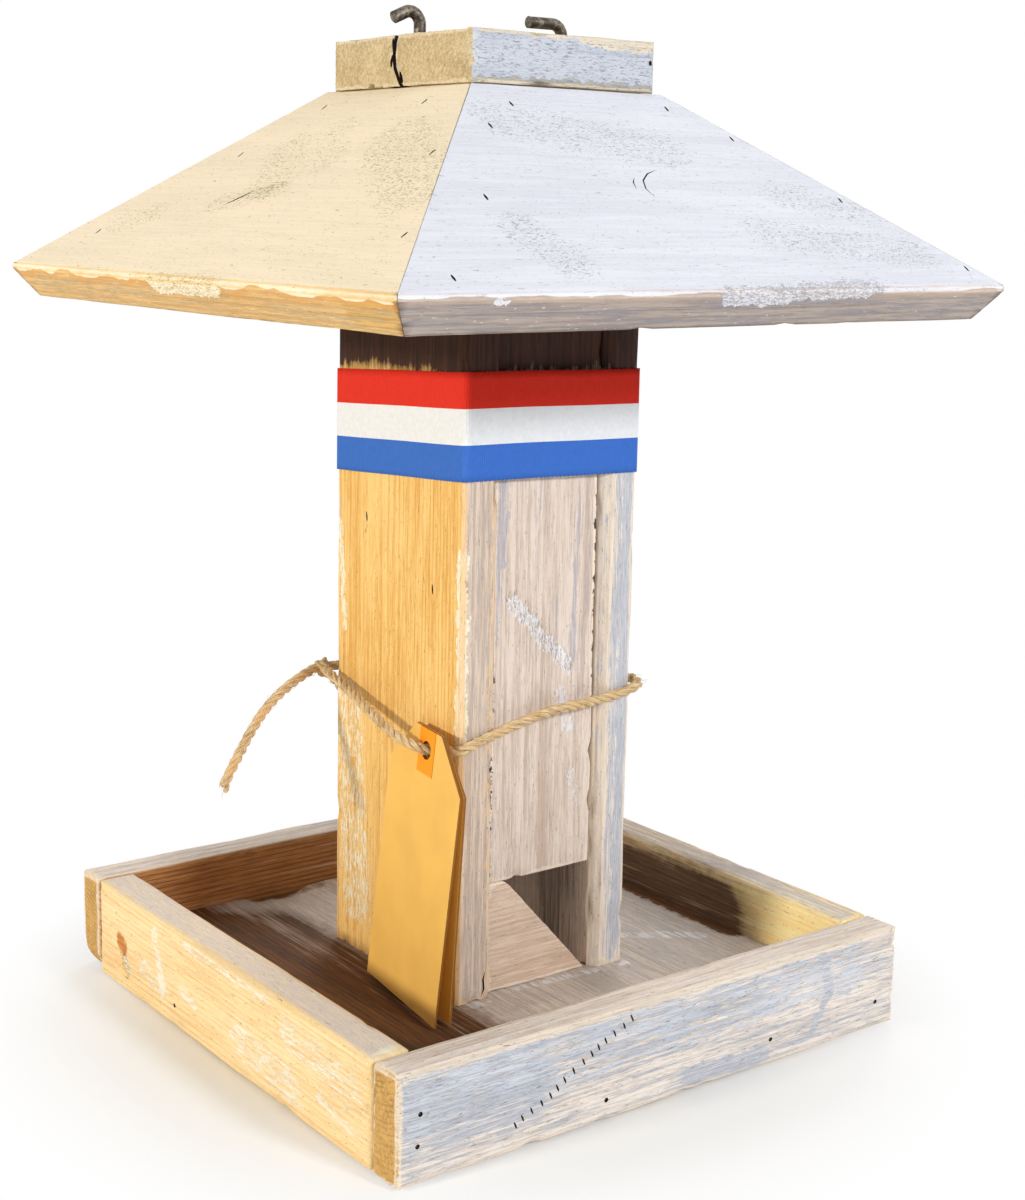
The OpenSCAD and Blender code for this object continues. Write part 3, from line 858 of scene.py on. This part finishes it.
left_rail = old_pine(
    "honey_pine_left_rail", "Y", RAIL, 5.7, flake=(5, 0.9), pith=(-150, -26), raised=0.22,
    edge=0.8, pores=0.35, second_tone_and_light=("#E2E6F0", "#C6CCDA"), brown=("#D08C4A", "#A8662E"),
    marks=on_side("X", LEFT_X, [
        ("paint", (53, 33), (46, 12), 2.6, 0.34),
        ("paint", (62, 16), (44, 11), 4.5, 0.26),
        ("paint", (79, 15), (76, 10), 1.6, 0.9),
        ("scuff", (80, 15), (77, 8), 3.0, 1.2),
        ("paint", (26, 38), (-36, 38), 3.4, 0.3),
        ("paint", (-14, 14), (-52, 10), 8, 0.25),
        ("paint", (-50, 30), (-90, 24), 8, 0.22),
        ("paint", (-70, 14), (-92, 10), 2.4, 0.3),
        ("paint", (30, 17), (20, 15), 2, 0.35),
        ("stain_and_shade", (83, 20), (80, 18), 3.2, 1.0)]) + [
        ("paint", (-113, -101, 40), (-106, -99, 40), 3.4, 0.5)])
# Painted light and shade on the inner face: the second tone makes a bright honey patch at the front
# end, where key light falls past the hopper, and the brown layer darkens the rest, in the hopper's
# shadow
right_rail = old_pine(
    "honey_pine_right_rail", "Y", dict(RAIL, skin="#D3CAC5", grey="#BBB3AF"), 1.9,
    flake=(9, 1.6), pith=(90, 70), raised=0.22, edge=0.8, second_tone_and_light=("#FFF0B8", "#FFDE98"),
    brown=("#7C5E44", "#523D2B"),
    marks=[("second_tone_and_light", (102, -50, 28), (102, -96, 28), 16, 1.0),
           ("stain_and_shade", (102, -36, 22), (102, 100, 22), 20, 0.4),
           ("stain_and_shade", (102, -33, 22), (102, 100, 22), 14, 0.5),
           ("paint", (RIGHT_X, 30, 24), (RIGHT_X, -40, 12), 6, 0.35)])
# Painted shade on the floor: the brown on its left half is the left rail's shadow, the strip by the
# right rail is shade at its foot, and the line by the back rail is shade in the dip there
deck = old_pine(
    "grey_pine_floor", "Y", dict(early="#D9C9BA", late="#AE9C8B", skin="#CBC3BE",
                                 grey="#B4ACA6", paint="#E6E4E3", chalk="#D2CDCA",
                                 fresh="#E2D0B6", scuff="#7B6D62", dirt="#453326"), 6.6,
    flake=(14, 1.6), pith=(20, -60), raised=0.25, brown=("#76491B", "#40270D"),
    marks=on_side("Z", FLOOR_Z, [
        ("stain_and_shade", (-98, 96), (-94, -70), 34, 1.0),
        ("stain_and_shade", (-62, 66), (-58, -60), 22, 0.7),
        ("stain_and_shade", (101, 60), (101, -44), 7, 1.0),
        ("paint", (-30, -46), (-50, -42), 3, 0.3),
        ("paint", (-14, -42), (40, -46), 2.5, 0.32),
        ("paint", (58, -22), (86, -41), 3.4, 0.33),
        ("bare", (-46, 90), (-14, 92), 1.8, 0.5),
        ("stain_and_shade", (-46, 98), (-15, 99), 3.5, 0.5)]))

NAIL, SLIT, TOOTH = (2.0, 2.0, 1.6, 0), (3.6, 1.15, 1.4, 0), (3.5, 0.85, 0.8, 24)
# A row of saw-tooth marks climbs across the front rail
TEETH = [(-70 + 3.6 * i + 0.6 * math.sin(5 * i), 9.5 + 1.9 * i + 0.5 * math.cos(7 * i))
         for i in range(15)]
# The front and back rails' left ends get the second tone, painted warm key light
old_board("tray_front_rail", "X", front_rail, relief=0.3, rounding=0.5, wear=1.1,
          faces={"all": dict(grey=0.42, paint=0.3), "up": dict(grey=0.12, paint=0.1),
                 "back": dict(stain_and_shade=0.25), "left": dict(grey=-0.4, paint=-0.3, second_tone_and_light=0.6)},
          cuts=[("nail", "front", [(-109, 25), (-110, 14), (107, 11), (-30, 8), (50, 10)], NAIL),
                ("hole", "front", TEETH, TOOTH)])
old_board("tray_back_rail", "X", back_rail, relief=0.3, rounding=0.5, wear=1.1,
          faces={"all": dict(grey=0.42, paint=0.25), "up": dict(grey=0.35, paint=0.1),
                 "front": dict(stain_and_shade=0.95), "left": dict(grey=0.1, paint=-0.2, second_tone_and_light=0.6)},
          cuts=[("nail", "back", [(-110, 25), (-110, 13), (110, 24), (109, 12), (30, 9),
                                  (-45, 10)], NAIL)],
          dents=[((LEFT_X, BACK_Y, 4), 9, 1.2)])
# The inner face is darkened as painted shade inside the tray
old_board("tray_left_rail", "Y", left_rail, relief=0.2, rounding=0.5, wear=0.8,
          faces={"all": dict(grey=0.08, paint=0.22), "up": dict(grey=0.75, paint=0.28),
                 "right": dict(stain_and_shade=0.5)},
          cuts=[("nail", "left", [(36, 9)], NAIL)])
# The inner face has no grey skin, so that its painted key light stays bright
old_board("tray_right_rail", "Y", right_rail, relief=0.2, rounding=0.5, wear=1.1,
          faces={"all": dict(grey=0.15, paint=0.14), "up": dict(grey=0.62, paint=0.12),
                 "left": dict(grey=0.0)},
          cuts=[("nail", "right", [(-58, 10), (40, 10)], NAIL)])
old_board("tray_floor", "Y", deck, wear=1.0, relief=0.24,
          faces={"all": dict(grey=0.5, paint=0.2), "down": dict(grey=0.3)},
          dents=[((-32, 102, FLOOR_Z), 17, 3.0), ((-44, 102, FLOOR_Z), 9, 1.5)])

# %% [markdown]
# ## The hopper
# Two side walls with the front and back panels between them, and the seed wedge in the foot. The
# left wall is honey pine, the right one silvered, and the front panel a paler, pinkish board. The
# left wall's front edge is painted pinkish grey, partly a weathered skin and partly painted shade
# beside its warm, key-lit left face. Under the roof the boards are painted dark brown, as painted
# shade of the roof.

# %% Hopper boards
BLUSH = dict(early="#E5D5C8", late="#C2AC9B", skin="#C7BFC0", grey="#ABA5AE", paint="#F0EEF1",
             chalk="#DCD8DC", fresh="#F3E4D2", scuff="#94857C", dirt="#4E3B30")
WALL_X, WALL_Y, PANEL_Y = 41, 43, 40
WALL_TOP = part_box("hopper_left_wall")[1].z / MM
# Painted shade of the roof: the hopper boards are painted dark brown in two bands below the walls'
# top, where the roof's shadow falls
ROOF_SHADE = []
for drop, width in ((70, 25), (30, 32)):
    z = WALL_TOP - drop
    ROOF_SHADE += [("stain_and_shade", (-WALL_X, y, z), (WALL_X, y, z), width, 2.0)
              for y in (-WALL_Y, WALL_Y)]
    ROOF_SHADE += [("stain_and_shade", (x, -WALL_Y, z), (x, WALL_Y, z), width, 2.0)
              for x in (-WALL_X, WALL_X)]
# The second tone paints the front and inner faces pinkish grey: partly a weathered skin, partly
# painted shade beside the warm, key-lit left face
left_wall = old_pine(
    "honey_pine_left_wall", "Z", dict(HONEY, fresh="#EAC59A", paint="#F6EFDD"), 2.2,
    flake=(5, 1.1), pith=(-70, 20), edge=0.5, second_tone_and_light=("#DFCBB9", "#BAA290"),
    marks=on_side("X", -WALL_X, [
        ("paint", (-42.4, 190), (-42, 122), 3.2, 0.58),
        ("paint", (-42, 122), (-39, 60), 2.4, 0.5),
        ("paint", (40, 190), (36, 150), 2.2, 0.5),
        ("paint", (34, 120), (26, 40), 12, 0.40),
        ("grey", (42, 200), (42, 30), 3, 0.4)]) + [
        ("bare", (-27.8, -WALL_Y, 216), (-27.8, -WALL_Y, 50), 1.6, 0.47)] + ROOF_SHADE)
# Painted shade: a dark line along the front edge by the panel, where the gap lies, and brown on the
# inner face inside the opening, in the panel's shadow
right_wall = old_pine(
    "silvered_pine_right_wall", "Z", SILVER, 4.8, flake=(8, 0.9), pith=(90, -30),
    marks=[("stain_and_shade", (25, -20, 62), (25, -20, 22), 12, 0.4)] + on_side("Y", -WALL_Y, [
        ("bare", (28, 230), (28, 30), 3.0, 0.55),
        ("grey", (38, 214), (38, 30), 4.0, 0.5),
        ("stain_and_shade", (25, 216), (25, 120), 0.7, 1.2)]) + ROOF_SHADE)
# Painted shade: dark lines along both side edges of the panel, in the gaps beside the walls
front_panel = old_pine(
    "blush_pine_front_panel", "Z", BLUSH, 7.3, flake=(3, 0.7), pith=(10, 20), lines=0.3,
    marks=on_side("Y", -PANEL_Y, [
        ("grey", (-20.5, 216), (-21.5, 186), 3.2, 0.62),
        ("grey", (-21.5, 186), (-24, 156), 2.0, 0.6),
        ("grey", (4, 216), (4, 150), 14, 0.22),
        ("paint", (-16, 170), (12, 142), 3.2, 0.44),
        ("scuff", (-16, 171), (12, 143), 3.4, 1.0),
        ("stain_and_shade", (24.3, 216), (24.3, 128), 0.8, 1.2),
        ("stain_and_shade", (-24.6, 166), (-24.6, 66), 0.5, 1.0),
        ("paint", (8, 132), (12, 118), 3.5, 0.36),
        ("grey", (-24, 164), (-24, 70), 1.2, 0.5),
        ("paint", (14, 100), (17, 86), 3, 0.3),
        ("grey", (20, 216), (16, 120), 6, 0.25)]) + ROOF_SHADE)
back_panel = old_pine(
    "blush_pine_back_panel", "Z", BLUSH, 9.1, flake=(6, 0.9), pith=(-14, -10), lines=0.4,
    marks=[("paint", (10, PANEL_Y, 180), (-12, PANEL_Y, 120), 4, 0.35), *ROOF_SHADE])
wedge_pine = old_pine(
    "blush_pine_wedge", "X", dict(BLUSH, early="#E6CFBA", late="#C9AC94", skin="#D6C3B4"), 0.7,
    pith=(0, -40), lines=0.2)

# Front and inner faces take the second tone's pinkish grey, partly painted shade
old_board("hopper_left_wall", "Z", left_wall,
          faces={"all": dict(paint=0.08), "front": dict(grey=0.45, paint=0.12, second_tone_and_light=1.0),
                 "back": dict(grey=0.5, paint=0.15), "right": dict(stain_and_shade=0.2, second_tone_and_light=1.0)},
          cuts=[("hole", "left", [(-24, 175), (21, 196), (30, 222)], (4.5, 1.1, 1.0, 6)),
                ("crack", "front", [(-27.6, 30), (-28.6, 26), (-28.2, 22), (-29.8, 18.6)],
                 0.9, 3.0)])
old_board("hopper_right_wall", "Z", right_wall,
          faces={"all": dict(grey=0.5, paint=0.34), "left": dict(grey=0.2, paint=0.1)})
old_board("hopper_front_panel", "Z", front_panel,
          faces={"all": dict(grey=0.06, paint=0.12), "back": dict(stain_and_shade=0.2)})
old_board("hopper_back_panel", "Z", back_panel,
          faces={"all": dict(grey=0.25, paint=0.15), "front": dict(stain_and_shade=0.2)})
old_board("seed_wedge", "X", wedge_pine, rounding=0.9,
          faces={"all": dict(grey=0.12, paint=0.02)})

# %% [markdown]
# ## The roof
# Four boards mitred along the hips, with their grain along the eaves, and a cap block over the hole
# between them. The slopes kept their paint, which ends in a wavy line a little below the eaves'
# arris. Its colours are painted light: cream on the left board, as warm key light, and a bluish
# white in front, as cool shade, and the right and back boards take these same two copies. Brads
# hold the boards, most of them in short splits.

# %% Roof boards
ROOF_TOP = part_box("roof_left_board")[1].z / MM
PAINTED_DROP = 68  # From the roof boards' top to where their paint ends, in mm
EAVE = ROOF_TOP - PAINTED_DROP
# Painted light: CREAM is the boards' paint and bare wood as warm key light shows them, WHITE the
# same as cool shade shows them
CREAM = dict(early="#DFBA84", late="#BE8E50", skin="#D0B88E", grey="#B4A17C", paint="#F5E5CB",
             chalk="#ECDEC4", fresh="#EECB8C", scuff="#A29763", dirt="#5A4426", sheltered="#D39A54")
WHITE = dict(early="#B0A39A", late="#8D8078", skin="#9D989E", grey="#8A8790", paint="#E6E7EF",
             chalk="#DBDBE4", fresh="#E4CCB6", scuff="#9C9AA0", dirt="#54443C",
             sheltered="#C6B09E")


def over(level, marks):
    """Marks whose heights are given over a level."""
    return moved(marks, lambda point: (*point[:2], level + point[2]))


CREAM_MARKS = over(EAVE, [
    ("scuff", (-68, -40, 45), (-92, -88, 30), 16, 0.8),
    ("scuff", (-72, 24, 43), (-88, 8, 32), 12, 0.7),
    ("scuff", (-62, 6, 50), (-80, -14, 38), 9, 0.6),
    ("scuff", (-110, 86, 16), (-104, 66, 20), 8, 0.6),
    ("scuff", (-100, 30, 24), (-92, -4, 28), 7, 0.7),
    ("lap", (-135, 16, -4), (-135, -26, -3), 4.5, 20),
    ("scuff", (-135, 16, -4), (-135, -26, -3), 6, 1.0),
    ("grey", (-134, 118, -8), (-134, 20, -8), 4, 0.3),
    ("second_tone_and_light", (-134, -110, -8), (-134, -140, -8), 9, 0.7)])
WHITE_MARKS = over(EAVE, [
    ("scuff", (-44, -62, 52), (20, -74, 45), 13, 0.75),
    ("scuff", (-70, -112, 18), (-62, -124, 10), 11, 0.8),
    ("scuff", (34, -112, 18), (104, -122, 12), 10, 0.75),
    ("scuff", (60, -94, 30), (96, -102, 24), 9, 0.7),
    ("bare", (86, -82, 38), (126, -124, 8), 3.4, 0.62),
    ("lap", (-2, -138, -3.8), (22, -138, -3), 3.8, 20),
    ("lap", (22, -138, -2.4), (62, -138, -1), 2.4, 20),
    ("scuff", (-4, -138, -3), (66, -137, 0), 5.5, 1.4),
    ("lap", (-107, -137, -10), (-103, -137, -10), 2.2, 25),
    ("lap", (-97, -138, -3), (-94, -138, -3), 2.0, 20)])
CREAM_NAILS = [(-52, -31), (-77, -72), (-112, -108), (-52, 35), (-76, 56), (-116, 96)]
WHITE_NAILS = [(-33, -56), (-50, -67), (-75, -99), (-110, -131), (40, -54), (60, -68),
               (88, -97), (122, -129)]


def turned(place):
    """A place in mm, turned half round the feeder's middle."""
    x, y, *height = place
    return (-x, -y, *height)


SLOPES = {
    "left": ("Y", CREAM, 4.4, CREAM_MARKS, CREAM_NAILS),
    "front": ("X", WHITE, 6.1, WHITE_MARKS, WHITE_NAILS),
    "right": ("Y", WHITE, 2.7, moved(CREAM_MARKS[:5], turned), [*map(turned, CREAM_NAILS)]),
    "back": ("X", CREAM, 8.8, moved(WHITE_MARKS[:4], turned),
             [*map(turned, WHITE_NAILS[:3] + WHITE_NAILS[4:7])])}
CRACKS = {
    "left": [("crack", "above", [(-94, 13), (-96.5, 16), (-99, 19.6), (-102, 24)], 1.1, 1.2)],
    "front": [("crack", "above", [(10, -84), (3, -86.5), (-2, -90), (-4, -94), (-3, -99)],
               0.6, 0.8),
              ("crack", "above", [(-4, -88), (-7, -91), (-8.5, -95)], 0.6, 0.8)]}
for side, (grain, tones, seed, marks, nails) in SLOPES.items():
    lap, edge = (2.4, 0.5) if tones is CREAM else (1.0, 0.32)
    wood = old_pine("painted_pine_roof_" + side, grain, tones, seed, marks, flake=(7, 2.4),
                    pith=(40, 300), edge=edge, scratch=(1.7, 0.5), paint_to=(EAVE, lap),
                    raised=0.12)
    old_board("roof_" + side + "_board", grain, wood, wear=1.1, relief=0.1,
              rounding=0.5, seam=0.22, cuts=[("nail", "above", nails, SLIT),
                                             *CRACKS.get(side, [])],
              faces={"all": dict(grey=0.25, paint=1.0), "down": dict(paint=-0.3, stain_and_shade=0.4),
                     side: dict(grey=0.4, paint=1.0)})

CAP_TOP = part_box("roof_cap")[1].z / MM
CAP_Y = -45.5
cap_pine = old_pine(
    "painted_pine_cap", "X", dict(SILVER, early="#D3C09A", late="#AC946C", skin="#B4B0A6",
                                  grey="#9C9C9A", paint="#C6C9D1", chalk="#A4ACBB",
                                  fresh="#E6D6BA", scuff="#858B98"), 3.9,
    flake=(13, 0.8), pith=(-60, 330), lines=0.15,
    marks=over(CAP_TOP, on_side("Y", CAP_Y, [
        ("scuff", (-36, -9), (40, -11), 9, 0.8),
        ("bare", (-16, 0), (42, -0.5), 2.2, 0.7),
        ("bare", (12, -1.5), (42, -2.5), 3.0, 0.7),
        ("paint", (-40, -18.5), (42, -18), 2.4, -0.5),
        ("grey", (-40, -18.5), (42, -18), 3.0, 0.5)])))
old_board("roof_cap", "X", cap_pine, wear=1.8, rounding=0.9,
          faces={"all": dict(grey=0.08), "front": dict(grey=0.6, paint=0.8),
                 "back": dict(grey=0.6, paint=0.8), "up": dict(grey=0.2, paint=0.4)},
          cuts=[("nail", "front", [(39, CAP_TOP - 8)], NAIL),
                ("hole", "left", [(3.1, CAP_TOP - 4)], (6, 1.8, 2, 4)),
                ("hole", "left", [(4.2, CAP_TOP - 9.5)], (5, 1.7, 2, -6)),
                ("hole", "left", [(-2.2, CAP_TOP - 15.5)], (5, 1.8, 2, 24))],
          split=((-43, -5, CAP_TOP - 20), (-10, 6, CAP_TOP + 1)))

# %% [markdown]
# ## Ribbon
# A grosgrain ribbon of three equal stripes is stretched round the hopper and
# lapped at the back. It starts as a flat grid and is bent round the walls. It
# sits a little askew, lower at the back than at the front.

# %% Ribbon
ribbon_low, ribbon_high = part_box("ribbon")
RIBBON_W = ribbon_high.z - ribbon_low.z
RIBBON_T = 0.4 * MM
ROUND_CORNER = 2 * MM
HALF_W = -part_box("hopper_left_wall")[0].x
HALF_D = -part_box("hopper_left_wall")[0].y


def round_hopper(run, lift):
    """Where a line round the hopper, lift off its walls, is after run, and once round."""
    corner = ROUND_CORNER + lift
    half_w, half_d = HALF_W + lift - corner, HALF_D + lift - corner
    bend = PI / 2 * corner
    sides = [half_w, bend, 2 * half_d, bend, 2 * half_w, bend, 2 * half_d, bend, half_w]
    place, heading = Vector((0, half_d + corner)), 0.0
    total_run = sum(sides)
    run %= total_run
    for i, part in enumerate(sides):
        step = min(run, part)
        if i % 2:
            centre = place + corner * Vector((math.sin(heading), -math.cos(heading)))
            heading -= step / corner
            place = centre + corner * Vector((-math.sin(heading), math.cos(heading)))
        else:
            place = place + step * Vector((math.cos(heading), math.sin(heading)))
        run -= step
        if run <= 0:
            break
    return place, total_run


LAP = 14 * MM
RIBS = 360
OFF_WALL, OVER_LAP = 0.38 * MM, 0.6 * MM
LEAN_X, LEAN_Y, DROP = 0.02, 0.062, 1.4 * MM
once_round = round_hopper(0, 0)[1]
ribbon_len = once_round + LAP
shape = bmesh.new()
bmesh.ops.create_grid(shape, x_segments=RIBS, y_segments=14, size=0.5)
weave = shape.loops.layers.uv.new("weave")
for face in shape.faces:
    for loop in face.loops:
        loop[weave].uv = (loop.vert.co.x + 0.5, loop.vert.co.y + 0.5)
for v in shape.verts:
    run = (v.co.x + 0.5) * ribbon_len
    lift = OFF_WALL + (OVER_LAP if run > once_round else 0)
    lift += 0.05 * MM * noise.noise(Vector((run / (9 * MM), v.co.y * 3, 0)))
    place, _ = round_hopper(run, lift)
    # The selvedge has a small loop at every other rib, and the band sits askew
    picot = 0.3 * MM * (round((v.co.x + 0.5) * RIBS) % 2) * (abs(v.co.y) > 0.49)
    sag = 0.3 * MM * noise.noise(Vector((run / (40 * MM), 2.0, 0))) - DROP
    height = (ribbon_low.z + ribbon_high.z) / 2 + sag - LEAN_X * place.x - LEAN_Y * place.y
    height += v.co.y * RIBBON_W + math.copysign(picot, v.co.y)
    v.co = (place.x, place.y, height)
bmesh.ops.recalc_face_normals(shape, faces=shape.faces)
print("Ribbon", round(ribbon_len, 4), "m long")

# %% [markdown]
# Grosgrain is tightly woven polyester with fine ribs across the ribbon and a soft
# sheen. Its stripes are woven in, so they follow the ribbon's own UV map, whose
# second number runs from the blue edge to the red one.

# %% Ribbon material
def grosgrain():
    made, tree = new_material("grosgrain_ribbon")
    along, across, _ = add(tree, "SeparateXYZ", (add(tree, "TexCoord", out="UV"),), out=ALL)
    colour = linear("#3A6CC3")
    for edge, dye in ((1 / 3, "#E6E8EC"), (2 / 3, "#DA2F1F")):
        stripe = add(tree, "Math", (across, edge), operation="GREATER_THAN")
        colour = add(tree, "Mix", (stripe, colour, linear(dye)), **COLOURS)
    # Ribs every 0.9 mm, a little coarser than the real ones so that they show
    ribs = add(tree, "Math", (along, 2 * PI * ribbon_len / (0.9 * MM)), operation="MULTIPLY")
    ribs = add(tree, "Math", (ribs,), operation="SINE")
    cloudy = add(tree, "TexNoise", {"Vector": add(tree, "TexCoord", out="Object"),
                                    "Scale": 1 / (2 * MM), "Detail": 4.0, "Roughness": 0.7})
    shade = add(tree, "MapRange", (cloudy, 0.3, 0.7, 0.93, 1.04))
    colour = add(tree, "VectorMath", (colour, shade), operation="SCALE")
    surface(tree, colour, 0.7, ribs, 0.35, 0.12, Specular_IOR_Level=0.15)
    return made


ribbon = keep_piece("woven_ribbon", shape, grosgrain())
thick = ribbon.modifiers.new("thickness", "SOLIDIFY")
thick.thickness = RIBBON_T
thick.offset = 0
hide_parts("ribbon")

# %% [markdown]
# ## Card tag and hooks
# The tag's leaves and patch keep their CAD shapes and get card finishes. The
# hooks are plain steel rod with a dark oxide skin.

# %% Card and steel
def card(name, colour, edge):
    """Coloured card: an even matt sheet with faint fibres, and its cut edges painted a darker
    brown, as shade on the thin edges.
    """
    made, tree = new_material(name)
    place = add(tree, "TexCoord", out="Object")
    fibres = add(tree, "TexNoise", {"Vector": place, "Scale": 1 / (0.8 * MM), "Detail": 5.0,
                                    "Roughness": 0.7})
    cloud = add(tree, "TexNoise", {"Vector": place, "Scale": 1 / (18 * MM), "Detail": 2.0})
    tone = coat(tree, linear(colour), linear(edge), cloud, 0.3, 0.8, 0.12)
    # The leaves face left, so what faces a different way is a cut edge, painted darker brown as
    # shade
    flat = add(tree, "VectorMath", (add(tree, "TexCoord", out="Normal"), SIDES["left"]),
               operation="DOT_PRODUCT")
    flat = add(tree, "Math", (flat,), operation="ABSOLUTE")
    tone = coat(tree, tone, linear(edge), flat, 0.8, 0.5)
    surface(tree, tone, 0.7, fibres, 0.2, 0.05, Specular_IOR_Level=0.35)
    return made


def oxidised_steel():
    """Plain steel rod under a dark, slightly rough oxide skin with paler rubbed spots."""
    made, tree = new_material("oxidised_steel_rod")
    grime = add(tree, "TexNoise", {"Vector": add(tree, "TexCoord", out="Object"),
                                   "Scale": 1 / (2.5 * MM), "Detail": 5.0,
                                   "Roughness": 0.65})
    colour = coat(tree, linear("#4A433D"), linear("#8C8172"), grime, 0.4, 0.65)
    rough = add(tree, "MapRange", (grime, 0.0, 1.0, 0.35, 0.65))
    surface(tree, colour, rough, grime, 0.4, 0.1, Metallic=0.85)
    return made


def dress(material, slot, *nodes):
    """Gives a material to CAD nodes that keep their own shape. slot is not used."""
    for node in nodes:
        body = frame["nodes"][node]
        body.data.materials.clear()
        body.data.materials.append(material)


steel = oxidised_steel()
dress(card("yellow_card", "#F0BE60", "#8A5A22"), "tag_card", "tag_front_leaf", "tag_back_leaf")
dress(card("orange_card", "#FF9A10", "#C8690A"), "tag_patch_card", "tag_patch")
dress(steel, "hook_steel", "hook_left", "hook_right")
nails = keep_piece("steel_brads", brads, steel)
FACES_A_BRAD = 10
print("Brads:", len(nails.data.polygons) // FACES_A_BRAD)

# %% [markdown]
# ## Studio
# A low, soft key from the left, a cool fill from the front, a broad weak lamp from
# behind and an even world give each colour about the level at which it is
# written, and leave the space under the roof dark. The paper floor keeps the
# feeder's shadow near its foot. Further out it is plain white to the camera, as
# the world is to the camera and in reflections.

# %% Studio
WHITE_LIGHT = (1, 1, 1, 1)
AMBIENT = 0.42
PAPER_R, WHITE_R = 0.11, 0.21  # The paper floor fades to white between these, in m

bpy.ops.mesh.primitive_plane_add(size=6)
floor = bpy.context.object
floor.name = "studio_floor"
floor.location.z = -0.5 * MM
made, tree = new_material("studio_paper")
away = add(tree, "VectorMath", (add(tree, "TexCoord", out="Object"),), operation="LENGTH")
bare_floor = add(tree, "MapRange", (away, PAPER_R, WHITE_R), **SMOOTH)
bare_floor = add(tree, "Math", (bare_floor, add(tree, "LightPath", out="Is Camera Ray")),
                 operation="MULTIPLY")
paper = add(tree, "BsdfDiffuse", {"Color": linear("#F6F5F3")})
glow = add(tree, "Emission", {"Color": WHITE_LIGHT, "Strength": 1.0})
add(tree, "OutputMaterial", (add(tree, "MixShader", (bare_floor, paper, glow)),))
floor.data.materials.append(made)

world = bpy.data.worlds.new("studio")
scene.world = world
world.use_nodes = True
tree = world.node_tree
tree.nodes.clear()
shows_white = 0.0
for ray in ("Is Camera Ray", "Is Glossy Ray", "Is Transmission Ray"):
    shows_white = add(tree, "Math", (add(tree, "LightPath", out=ray), shows_white),
                      operation="MAXIMUM")
level = add(tree, "MapRange", (shows_white, 0.0, 1.0, AMBIENT, 1.0))
sky = add(tree, "Background", {"Color": WHITE_LIGHT, "Strength": level})
add(tree, "OutputWorld", (sky,))


def soft_light(name, place, size, level, colour):
    """A disk lamp that gives a surface facing it this level, where 1 shows paper white."""
    aim = Vector((0, 0, 0.2)) - Vector(place)
    lamp = bpy.data.objects.new(name, bpy.data.lights.new(name, "AREA"))
    lamp.data.shape = "DISK"
    lamp.data.size = size
    lamp.data.energy = level * (PI * aim.length) ** 2
    lamp.data.color = colour
    lamp.location = place
    lamp.rotation_mode = "QUATERNION"
    lamp.rotation_quaternion = aim.to_track_quat("-Z", "Y")
    scene.collection.objects.link(lamp)
    print("Lamp", name, "at", round(aim.length, 2), "m")


soft_light("key", (-2.3, 0.05, 0.76), 0.3, 0.60, (1.0, 0.94, 0.79))
soft_light("fill", (0.35, -2.0, 1.12), 0.4, 0.60, (0.94, 0.97, 1.0))
soft_light("back", (1.7, 1.5, 1.2), 1.4, 0.35, (1.0, 0.98, 0.95))
scene.view_settings.view_transform = "Standard"
